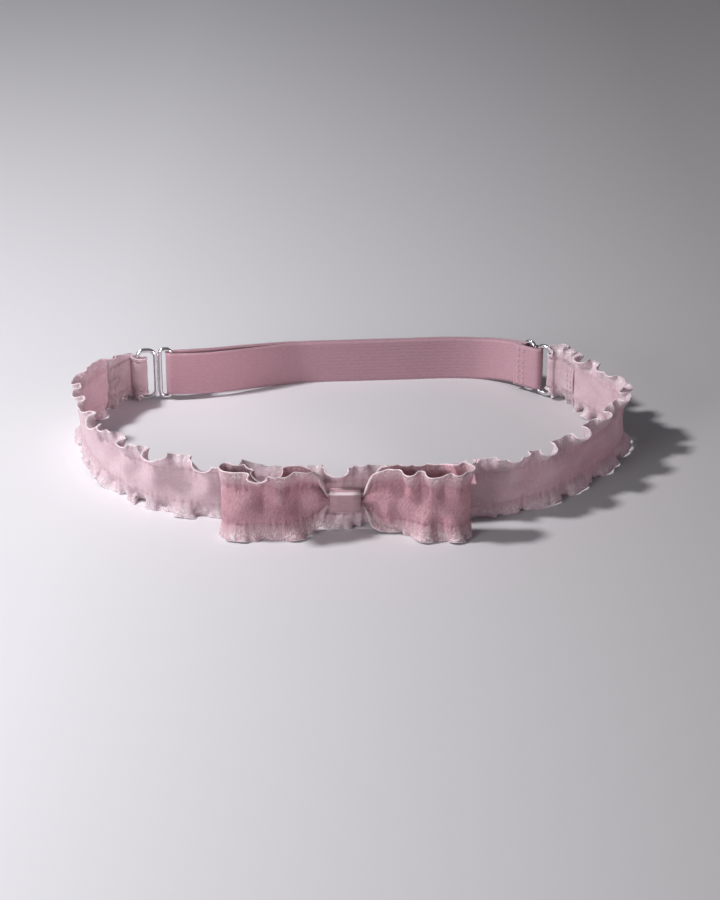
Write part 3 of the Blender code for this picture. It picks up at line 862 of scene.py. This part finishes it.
def strap_line():
    """Plan points and lower-edge heights of the strap, from one cut end to the other."""
    radius = LINK_THICKNESS / 2.0 + SEAM_GAP + STRAP_WALL / 2.0
    centre_bar = LINK_BAR / 2.0 - LINK_CENTRE_BAR / 2.0
    start = link_point("link_left", NARROW_BAR_ALONG)
    end = link_point("link_right", centre_bar)
    middle = resample(curve_through([start, *STRAP_PLAN, end]), STRAP_STEPS)
    along = lengths_along(middle)
    inwards = right_normals(middle)
    layers = np.array(STRAP_LAYERS)
    inner, outer, foot = read_at(along, layers[:, 0], layers[:, 1:]).T
    outer_run = np.column_stack([middle - outer[:, None] * inwards, foot])
    inner_run = np.column_stack([middle + inner[:, None] * inwards, foot])
    inner_along = np.linspace(0.0, along[-1] - STRAP_INNER_END, STRAP_STEPS)
    inner_run = read_at(inner_along, along, inner_run)
    flap_along = along[-1] - np.linspace(STRAP_FLAP, 0.0, STRAP_FLAP_STEPS + 1)
    near, far = STRAP_FLAP_OFFSETS
    flap_offset = np.linspace(far, near, STRAP_FLAP_STEPS + 1)[:, None]
    flap = read_at(flap_along, along, middle) + flap_offset * read_at(flap_along, along, inwards)
    flap_run = np.column_stack([flap, np.interp(flap_along, along, foot)])
    right_fold = fold_round("link_right", centre_bar, -radius, -radius)
    left_fold = fold_round("link_left", NARROW_BAR_ALONG, -radius, -radius)
    right_fold = np.column_stack([right_fold, np.full(len(right_fold), foot[-1])])
    left_fold = np.column_stack([left_fold, np.full(len(left_fold), foot[0])])
    return np.vstack([flap_run, right_fold, outer_run[::-1], left_fold, inner_run])


def hang_over(outs, normals, along, closed=False):
    """Shift of each point along the cloth that rounds its waves into hanging folds."""
    outs = np.array(outs)
    tangents = np.column_stack([-normals[:, 1], normals[:, 0], np.zeros(len(normals))])
    if closed:
        steepness = np.roll(outs, -1, axis=0) - np.roll(outs, 1, axis=0)
        steepness /= 2.0 * along[-1] / (len(along) - 1)
    else:
        steepness = np.gradient(outs, axis=0) / np.gradient(along)[:, None]
    steepness = np.clip(steepness, -STEEPEST_FOLD, STEEPEST_FOLD)
    shift = -FOLD_OVERHANG * outs * steepness
    return shift[:, :, None] * tangents[:, None]


def thread_points(edge):
    """Centre line of an edge's thread, in quarter stitches, and its radius at each point."""
    along = lengths_along(edge)
    places = np.arange(0.0, along[-1], THREAD_STEP)
    line = read_at(places, along, edge)
    line[:, 2] = np.maximum(line[:, 2], THREAD_RADIUS + THREAD_BEAD / 2.0)
    beads = np.abs(np.sin(math.pi * places / THREAD_PITCH))
    return line, THREAD_RADIUS + THREAD_BEAD * (beads - 0.5)


def tube(line, radii, sides, closed=False, squash=1.0, up=(0.0, 0.0, 1.0)):
    """Points and faces of a tube along a line, with its ends capped if it's open."""
    line = np.asarray(line, float)
    if closed:
        ahead = np.roll(line, -1, axis=0) - np.roll(line, 1, axis=0)
    else:
        ahead = np.gradient(line, axis=0)
    ahead /= np.linalg.norm(ahead, axis=1)[:, None]
    side = np.cross(ahead, np.array(up, float))
    side /= np.maximum(np.linalg.norm(side, axis=1), 1e-9)[:, None]
    across = np.cross(ahead, side)
    angles = np.linspace(0.0, TURN, sides, endpoint=False)
    cos, sin = np.cos(angles)[None, :, None], np.sin(angles)[None, :, None] * squash
    radii = np.broadcast_to(radii, len(line))[:, None, None]
    points = line[:, None] + radii * (cos * side[:, None] + sin * across[:, None])
    count = len(line)
    faces = []
    for i in range(count if closed else count - 1):
        for j in range(sides):
            near, far = i * sides, (i + 1) % count * sides
            faces.append([near + j, near + (j + 1) % sides, far + (j + 1) % sides, far + j])
    if not closed:
        faces.append(list(range(sides))[::-1])
        faces.append([(count - 1) * sides + j for j in range(sides)])
    return points.reshape(-1, 3), faces


def make_mesh(name, points, faces, material, uv=None):
    mesh = bpy.data.meshes.new(name)
    mesh.from_pydata((np.asarray(points) * MM).tolist(), [], faces)
    mesh.materials.append(material)
    mesh.shade_smooth()
    if uv is not None:
        layer = mesh.uv_layers.new(name="cloth")
        corners = np.empty(len(mesh.loops), dtype=np.int32)
        mesh.loops.foreach_get("vertex_index", corners)
        layer.data.foreach_set("uv", np.asarray(uv)[corners].astype(np.float32).ravel())
    piece = bpy.data.objects.new(name, mesh)
    bpy.context.scene.collection.objects.link(piece)
    return piece


def join_shapes(shapes):
    """One list of points and faces from several."""
    points, faces, first = [], [], 0
    for shape_points, shape_faces in shapes:
        points.append(shape_points)
        faces += [[first + index for index in face] for face in shape_faces]
        first += len(shape_points)
    return np.vstack(points), faces


def cloth_uv(grid):
    """Metres along and up the cloth at each grid point, once for each side of the shell."""
    along = lengths_along(grid[:, grid.shape[1] // 2])
    rises = np.linalg.norm(np.diff(grid, axis=1), axis=2).mean(axis=0)
    up = np.concatenate([[0.0], np.cumsum(rises)])
    one_side = np.stack(np.meshgrid(along, up, indexing="ij"), axis=-1) * MM
    return np.concatenate([one_side, one_side]).reshape(-1, 2)


def press_creases(grid, along, buckles, pockets=(), closed=False):
    """The grid with its buckles, pockets and the puckers of its two gathered seams."""
    normals = surface_normals(grid, closed)
    rows = grid.shape[1]
    flounce = len(BAND_DEPTHS)
    seams = (flounce, rows - 1 - flounce)
    panel = np.clip((np.arange(rows) - seams[0]) / (seams[1] - seams[0]), 0.0, 1.0)
    first, second = (TURN * along / length for length in PUCKER_LENGTHS)
    slow = PUCKER_DRIFT * np.sin(TURN * along / PUCKER_DRIFT_LENGTH)
    waves = np.sin(first + slow) + PUCKER_SECOND * np.sin(second - PUCKER_COUNTER * slow)
    rise = PANEL_HEIGHT / (seams[1] - seams[0])
    near, groove = np.zeros(rows), np.zeros(rows)
    for seam, towards_panel in zip(seams, (1.0, -1.0)):
        over = (np.arange(rows) - seam) * rise * towards_panel
        reach = np.where(over > 0.0, PUCKER_REACH_PANEL, PUCKER_REACH_FLOUNCE)
        near += np.exp(-np.abs(over) / reach)
        groove -= SEAM_GROOVE * np.exp(-((over / SEAM_GROOVE_WIDTH) ** 2))
    press = PUCKER_SIZE * waves[:, None] * near[None] + groove[None]
    for place, width, share, share_width, out in buckles:
        upward = hump(panel - share, BUCKLE_SPREAD * share_width)
        press += out * hump(along - place, width)[:, None] * upward[None]
    below_seam = np.full(rows, -PANEL_HEIGHT)
    below_seam[:flounce] = BAND_DEPTHS
    for place, width, below, height, depth in pockets:
        downward = hump(below_seam - below, height)
        press -= depth * hump(along - place, width)[:, None] * downward[None]
    return grid + normals * press[:, :, None]


def make_material(name, build):
    material = bpy.data.materials.new(name)
    material.use_nodes = True
    tree = material.node_tree
    build(tree, tree.nodes["Principled BSDF"])
    return material


def feed(tree, socket, value):
    """An input's value, or its link from another node's output."""
    if isinstance(value, bpy.types.NodeSocket):
        tree.links.new(value, socket)
    else:
        socket.default_value = value


def set_inputs(tree, node, **values):
    for name, value in values.items():
        feed(tree, node.inputs[name.replace("_", " ")], value)


def noise(tree, place, detail, scale=1.0, **values):
    node = tree.nodes.new("ShaderNodeTexNoise")
    set_inputs(tree, node, Vector=place, Detail=detail, Scale=scale, **values)
    return node.outputs["Fac"]


def bands(tree, place, direction, distortion):
    """Wave bands, one after another along one axis of the place."""
    node = tree.nodes.new("ShaderNodeTexWave")
    node.bands_direction = direction
    set_inputs(tree, node, Vector=place, Scale=1.0, Distortion=distortion, Detail=2.0)
    return node.outputs["Fac"]


def object_place(tree):
    return tree.nodes.new("ShaderNodeTexCoord").outputs["Object"]


def scaled(tree, place, scale, slant_deg=0.0):
    """A place scaled to the cells of a texture, then turned about its third axis."""
    node = tree.nodes.new("ShaderNodeMapping")
    turn = (0.0, 0.0, math.radians(slant_deg))
    set_inputs(tree, node, Vector=place, Scale=scale, Rotation=turn)
    return node.outputs["Vector"]


def one_axis(tree, vector, axis):
    node = tree.nodes.new("ShaderNodeSeparateXYZ")
    set_inputs(tree, node, Vector=vector)
    return node.outputs[axis]


def share_between(tree, value, low, high):
    """How far a value is from low to high, from 0 to 1."""
    node = tree.nodes.new("ShaderNodeMapRange")
    set_inputs(tree, node, Value=value, From_Min=low, From_Max=high)
    return node.outputs["Result"]


def arithmetic(tree, operation, *values):
    node = tree.nodes.new("ShaderNodeMath")
    node.operation = operation
    for socket, value in zip(node.inputs, values):
        feed(tree, socket, value)
    return node.outputs[0]


def ramp(tree, factor, stops):
    """A colour for each factor, from stops that each have a colour or the value of a grey."""
    node = tree.nodes.new("ShaderNodeValToRGB")
    elements = node.color_ramp.elements
    while len(elements) < len(stops):
        elements.new(0.5)
    for element, (place, colour) in zip(elements, stops):
        rgb = colour if isinstance(colour, tuple) else (colour,) * 3
        element.position = place
        element.color = (*rgb, 1.0)
    tree.links.new(factor, node.inputs["Fac"])
    return node.outputs["Color"]


def bump(tree, height, strength, distance, below=None):
    node = tree.nodes.new("ShaderNodeBump")
    set_inputs(tree, node, Height=height, Strength=strength, Distance=distance)
    if below is not None:
        set_inputs(tree, node, Normal=below)
    return node.outputs["Normal"]


def cloth_place(tree, scale_u, scale_v, slant_deg=0.0):
    """The cloth's own metres along and up, scaled to the cells of a texture."""
    node = tree.nodes.new("ShaderNodeUVMap")
    node.uv_map = "cloth"
    return scaled(tree, node.outputs["UV"], (scale_u, scale_v, 1.0), slant_deg)


def up_cloth(tree, stops):
    """A ramp up the ribbon, from its lower edge at 0 to its upper edge at 1.

    The gathers make its zones a little uneven along the ribbon.
    """
    height = (PANEL_HEIGHT + 2.0 * FLOUNCE_DEPTH) * MM
    rise = one_axis(tree, cloth_place(tree, 1.0, 1.0 / height), "Y")
    gathers = noise(tree, cloth_place(tree, *GATHER_CELLS), 1.0)
    shift = arithmetic(tree, "MULTIPLY_ADD", gathers, GATHER_SHIFT, -GATHER_SHIFT / 2.0)
    return ramp(tree, arithmetic(tree, "ADD", rise, shift), stops)


def blend_colours(tree, factor, first, second):
    node = tree.nodes.new("ShaderNodeMix")
    node.data_type = "RGBA"
    tree.links.new(factor, node.inputs[0])
    for socket, colour in ((node.inputs[6], first), (node.inputs[7], second)):
        feed(tree, socket, (*colour, 1.0) if isinstance(colour, tuple) else colour)
    return node.outputs[2]


def chiffon(panel, flounce, seam, sheen, crimp, glow):
    """Crinkled chiffon: a plain panel, lighter flounces with painted glints of their yarns, and
    gathered seams darker from doubled cloth and painted gather shade.
    """

    def build(tree, shader):
        slanted = cloth_place(tree, 1.0, 1.0, CRINKLE_SLANT_DEG)
        drawn_out = scaled(tree, slanted, (*CRINKLE_CELLS, 1.0))
        crinkle = noise(tree, drawn_out, 2.0, Roughness=0.5, Distortion=0.8)
        yarns = noise(tree, cloth_place(tree, *YARN_CELLS), 1.0)
        patches = noise(tree, cloth_place(tree, *PATCH_CELLS), 2.0)
        shades = arithmetic(tree, "MULTIPLY", arithmetic(tree, "ADD", crinkle, patches), 0.5)
        on_panel = ramp(tree, shades, ((0.34, panel[1]), (0.64, panel[0])))
        on_flounce = ramp(tree, shades, ((0.34, flounce[1]), (0.64, flounce[0])))
        is_panel = up_cloth(tree, PANEL_STOPS)
        colour = blend_colours(tree, is_panel, on_flounce, on_panel)
        # Painted shade: darker at the gathered seams, from doubled cloth, fading over into the
        # flounces
        colour = blend_colours(tree, up_cloth(tree, SEAM_AND_SHADE_STOPS), colour, seam)
        # Painted glints: white specks on the flounces' yarns, which also get a lower roughness
        specks = tree.nodes.new("ShaderNodeTexVoronoi")
        set_inputs(tree, specks, Vector=cloth_place(tree, *SPECK_CELLS), Scale=1.0)
        one_speck = tree.nodes.new("ShaderNodeSeparateColor")
        set_inputs(tree, one_speck, Color=specks.outputs["Color"])
        bright = ramp(tree, one_speck.outputs["Red"], ((0.62, 0.0), (0.80, 1.0)))
        painted_glints = arithmetic(tree, "MULTIPLY", bright, up_cloth(tree, PAINTED_GLINT_STOPS))
        colour = blend_colours(tree, painted_glints, colour, PAINTED_GLINT_COLOUR)
        ridges = bump(tree, crinkle, crimp, 0.0006)
        set_inputs(
            tree,
            shader,
            Base_Color=colour,
            Roughness=ramp(tree, painted_glints, ((0.0, 0.52), (0.5, 0.22))),
            Normal=bump(tree, yarns, 0.2, 0.0002, ridges),
            Sheen_Weight=sheen,
            Sheen_Roughness=0.35,
            Sheen_Tint=(1.0, 0.93, 0.95, 1.0),
            Subsurface_Weight=glow,
            Subsurface_Radius=(1.0, 0.7, 0.75),
            Subsurface_Scale=0.0035,
        )

    return build


def satin(light, deep, roughness, painted_highlight=None):
    """Smooth satin with fine floats, and with a painted highlight along the knot's top edge and
    foot when one is given.
    """

    def build(tree, shader):
        place = object_place(tree)
        floats = noise(tree, scaled(tree, place, (300.0, 2600.0, 2600.0)), 2.0)
        colour = ramp(tree, floats, ((0.35, deep), (0.65, light)))
        # Painted highlight: lighter along the knot's top edge and, less so, at its foot
        if painted_highlight is not None:
            middle = BOW_MIDDLE[2] * MM
            foot = middle - KNOT_HEIGHT * MM / 2.0
            head = middle + KNOT_HEIGHT * MM / 2.0
            rise = share_between(tree, one_axis(tree, place, "Z"), foot, head)
            edge = ramp(tree, rise, KNOT_HIGHLIGHT_STOPS)
            colour = blend_colours(tree, edge, colour, painted_highlight)
        set_inputs(
            tree,
            shader,
            Base_Color=colour,
            Roughness=roughness,
            Normal=bump(tree, floats, 0.3, 0.0002),
            Specular_IOR_Level=0.7,
            Sheen_Weight=0.3,
        )

    return build


def elastic(tree, shader):
    """Woven elastic: lengthwise ribs crossed by fine picks."""
    ribs = bands(tree, cloth_place(tree, 30.0, 190.0), "Y", 0.6)
    picks = bands(tree, cloth_place(tree, 330.0, 60.0), "X", 1.5)
    uneven = noise(tree, cloth_place(tree, 500.0, 2200.0), 3.0)
    light, deep = ELASTIC_COLOURS
    colour = ramp(tree, uneven, ((0.30, deep), (0.70, light)))
    normal = bump(tree, picks, 0.12, 0.0001, bump(tree, ribs, 0.12, 0.0003))
    set_inputs(tree, shader, Base_Color=colour, Roughness=0.7, Normal=normal, Sheen_Weight=0.35)


def plated_metal(tree, shader):
    """Bright silver plating with faint wear in its polish."""
    wear = noise(tree, object_place(tree), 3.0, 420.0)
    colour = ramp(tree, wear, ((0.3, (0.74, 0.75, 0.77)), (0.7, (0.86, 0.86, 0.87))))
    shine = ramp(tree, wear, ((0.3, 0.16), (0.75, 0.26)))
    normal = bump(tree, wear, 0.15, 0.0002)
    set_inputs(tree, shader, Base_Color=colour, Roughness=shine, Normal=normal, Metallic=1.0)


def floor_paint(tree, shader):
    """Pale paper with painted shade, darker towards the right where the light falls off, and a
    faint tooth.
    """
    place = object_place(tree)
    # Painted shade: the floor darker towards the right, for the light's falloff
    spread = share_between(tree, one_axis(tree, place, "X"), -0.12, 0.20)
    left, right = (0.82, 0.812, 0.845), (0.54, 0.52, 0.53)
    colour = ramp(tree, spread, ((0.0, left), (1.0, right)))
    normal = bump(tree, noise(tree, place, 2.0, 900.0), 0.05, 0.0002)
    set_inputs(tree, shader, Base_Color=colour, Roughness=0.75, Normal=normal)
    set_inputs(tree, shader, Specular_IOR_Level=0.2)


def add_cloth(name, grid, shell, material, closed=False):
    return make_mesh(name, *sheet_solid(grid, shell, closed), material, cloth_uv(grid))


def add_threads(name, edges, material):
    """Overlocked edges: one beaded thread along each edge."""
    shapes = []
    for edge in edges:
        line, radii = thread_points(edge)
        shapes.append(tube(line, radii, THREAD_SIDES))
    return make_mesh(name, *join_shapes(shapes), material)


def stitch_shapes(line, length, gap, radius):
    """Short stitches laid along a line, each a tube that sinks at both its ends."""
    along = lengths_along(line)
    shapes = []
    for start in np.arange(gap / 2.0, along[-1] - length, length + gap):
        places = np.linspace(start, start + length, STITCH_STEPS)
        points = read_at(places, along, line)
        angles = np.linspace(STITCH_TAPER, math.pi - STITCH_TAPER, STITCH_STEPS)
        radii = radius * np.sqrt(np.sin(angles))
        shapes.append(tube(points, radii, THREAD_SIDES, up=STITCH_UP))
    return shapes


def add_band_stitches(grid, along, material):
    """The seams that hold the band's two folded ends: two rows at each cut end."""
    normals = surface_normals(grid)
    from_start = along - along[0]
    shapes = []
    for places, towards in ((from_start, 1.0), (from_start[-1] - from_start, -1.0)):
        for inset in BAND_STITCH_ROWS:
            column = int(np.argmin(np.abs(places - inset)))
            rows = slice(len(BAND_DEPTHS), grid.shape[1] - len(BAND_DEPTHS))
            line = grid[column, rows]
            out = normals[column, rows]
            inward = np.sign(-np.sum(out[:, :2] * line[:, :2], axis=1).mean())
            rise = RIBBON_SHELL / 2.0 + STITCH_RADIUS * BAND_STITCH_RISE
            raised = line + inward * out * rise
            shapes += stitch_shapes(raised, STITCH_LENGTH, STITCH_SPACE, STITCH_RADIUS)
    return make_mesh("band_stitches", *join_shapes(shapes), material)


def add_strap_stitches(grid, material):
    """A zigzag across the strap's flap at the right link, on its outer side."""
    normals = surface_normals(grid)
    along = lengths_along(grid[:, 0])
    shapes = []
    for inset in STRAP_STITCH_ROWS:
        line = []
        for i, share in enumerate(np.linspace(*STRAP_STITCH_SPAN, STRAP_ZIGZAGS)):
            place = inset + (0.5 if i % 2 else -0.5) * STRAP_ZIGZAG_WIDTH
            point, out = (
                np.array([np.interp(place, along, values[:, axis]) for axis in range(3)])
                for values in (grid[:, 0], normals[:, STRAP_ROWS // 2])
            )
            inward = np.sign(-np.dot(out[:2], point[:2]))
            rise = STRAP_SHELL / 2.0 + STITCH_RADIUS * STRAP_STITCH_RISE
            point = point + inward * out * rise
            line.append(point + np.array([0.0, 0.0, share * STRAP_WIDTH]))
        for start, end in zip(line, line[1:]):
            points = mix(start, end, np.linspace(0.0, 1.0, STITCH_STEPS)[:, None])
            shapes.append(tube(points, STITCH_RADIUS, THREAD_SIDES, up=STITCH_UP))
    return make_mesh("strap_stitches", *join_shapes(shapes), material)


def add_band(materials):
    grid, along = band_grid()
    grid = press_creases(grid, along, BAND_BUCKLES, BAND_POCKETS)
    cloth = add_cloth("band_cloth", grid, RIBBON_SHELL, materials["ribbon"])
    threads = add_threads("band_edges", (grid[:, 0], grid[:, -1]), materials["thread"])
    stitches = add_band_stitches(grid, along, materials["sewing"])
    return cloth, threads, stitches


def add_bow(materials):
    grid, along = bow_grid()
    grid = press_creases(grid, along, BOW_BUCKLES, closed=True)
    cloth = add_cloth("bow_cloth", grid, RIBBON_SHELL, materials["bow"], closed=True)
    ring = np.vstack([grid, grid[:1]])
    threads = add_threads("bow_edges", (ring[:, 0], ring[:, -1]), materials["thread"])
    return cloth, threads


def add_knot(materials):
    points, faces = sheet_solid(knot_grid(), KNOT_WALL, closed=True)
    return make_mesh("knot_wrap", points, faces, materials["satin"])


def add_strap(materials):
    line = strap_line()
    rows = np.linspace(0.0, 1.0, STRAP_ROWS)
    grid = line[:, None] + rows[None, :, None] * np.array([0.0, 0.0, STRAP_WIDTH])
    strap = add_cloth("strap_elastic", grid, STRAP_SHELL, materials["elastic"])
    return strap, add_strap_stitches(grid, materials["sewing"])


def add_link(name, material):
    """Two wire rings side by side, a hair apart."""
    shapes = []
    for first, last, corner in RINGS:
        width, height = last - first, LINK_HEIGHT - 2.0 * WIRE_RADIUS
        ring = rounded_rectangle(width, height, corner, RING_CORNER_STEPS)
        line = []
        for across, up in ring:
            plan = link_point(name, across + (first + last) / 2.0)
            line.append((*plan, LINK_MIDDLE + up))
        heading = math.radians(LINKS[name][2])
        flat = (-math.sin(heading), math.cos(heading), 0.0)
        shapes.append(tube(line, WIRE_RADIUS, WIRE_SIDES, closed=True, up=flat, squash=WIRE_SQUASH))
    return make_mesh(f"{name}_rings", *join_shapes(shapes), material)


def add_stage():
    signs = ((-1, -1), (1, -1), (1, 1), (-1, 1))
    corners = [(x * FLOOR_SIZE / 2.0, y * FLOOR_SIZE / 2.0, 0.0) for x, y in signs]
    mesh = bpy.data.meshes.new("floor")
    mesh.from_pydata(corners, [], [(0, 1, 2, 3)])
    mesh.materials.append(make_material("floor_paint", floor_paint))
    floor = bpy.data.objects.new("floor", mesh)
    bpy.context.scene.collection.objects.link(floor)
    floor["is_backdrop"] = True


def add_lamp(name, place, target, size, power, colour, spread):
    lamp = bpy.data.lights.new(name, "AREA")
    lamp.shape = "DISK"
    lamp.size = size
    lamp.energy = power
    lamp.color = colour
    lamp.spread = math.radians(spread)
    obj = bpy.data.objects.new(name, lamp)
    obj.location = place
    aim = Vector(target) - Vector(place)
    obj.rotation_euler = aim.to_track_quat("-Z", "Y").to_euler()
    bpy.context.scene.collection.objects.link(obj)


def add_light():
    for name, values in LAMPS.items():
        add_lamp(name, *values)
    world = bpy.context.scene.world or bpy.data.worlds.new("world")
    bpy.context.scene.world = world
    world.use_nodes = True
    background = world.node_tree.nodes["Background"]
    background.inputs["Color"].default_value = (*SKY_COLOUR, 1.0)
    background.inputs["Strength"].default_value = SKY_STRENGTH


def add_camera():
    data = bpy.data.cameras.new("camera")
    data.lens = CAMERA_LENS
    data.sensor_width = 36.0
    camera = bpy.data.objects.new("camera", data)
    camera.location = CAMERA_PLACE
    camera.rotation_euler = (math.radians(CAMERA_TILT_DEG), 0.0, 0.0)
    bpy.context.scene.collection.objects.link(camera)
    bpy.context.scene.camera = camera


def main(before):
    bpy.context.scene.view_settings.view_transform = "Standard"
    add_camera()
    add_light()
    add_stage()
    materials = {
        "ribbon": make_material("ribbon_chiffon", chiffon(*RIBBON_COLOURS, 0.4, 0.3, 0.4)),
        "bow": make_material("bow_chiffon", chiffon(*BOW_COLOURS, 0.3, 0.9, 0.3)),
        "thread": make_material("edge_thread", satin(*THREAD_COLOURS, 0.28)),
        "sewing": make_material("sewing_thread", satin(*SEWING_COLOURS, 0.4)),
        "satin": make_material("satin", satin(*SATIN_COLOURS, 0.3, SATIN_PAINTED_HIGHLIGHT)),
        "elastic": make_material("elastic", elastic),
        "metal": make_material("silver_metal", plated_metal),
    }
    band, band_edges, band_stitches = add_band(materials)
    bow, bow_edges = add_bow(materials)
    knot = add_knot(materials)
    strap, strap_stitches = add_strap(materials)
    rows = (
        (band, "band", "ribbon_chiffon"),
        (band_edges, "band", "ribbon_chiffon"),
        (band_stitches, "band", "ribbon_chiffon"),
        (bow, "bow", "bow_chiffon"),
        (bow_edges, "bow", "bow_chiffon"),
        (knot, "knot", "satin"),
        (strap, "strap", "elastic"),
        (strap_stitches, "strap", "elastic"),
    )
    for piece, node, slot in rows:
        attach(piece, "root")
        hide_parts(node)
    for name in LINKS:
        link = add_link(name, materials["metal"])
        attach(link, "root")
        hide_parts(name)
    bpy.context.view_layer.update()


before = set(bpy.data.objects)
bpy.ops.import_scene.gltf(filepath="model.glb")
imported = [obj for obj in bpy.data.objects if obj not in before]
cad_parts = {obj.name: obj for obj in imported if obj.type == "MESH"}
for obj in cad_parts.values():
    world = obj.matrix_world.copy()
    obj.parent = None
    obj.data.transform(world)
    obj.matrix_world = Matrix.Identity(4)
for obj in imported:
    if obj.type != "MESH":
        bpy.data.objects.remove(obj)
main([list(corner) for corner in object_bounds()])
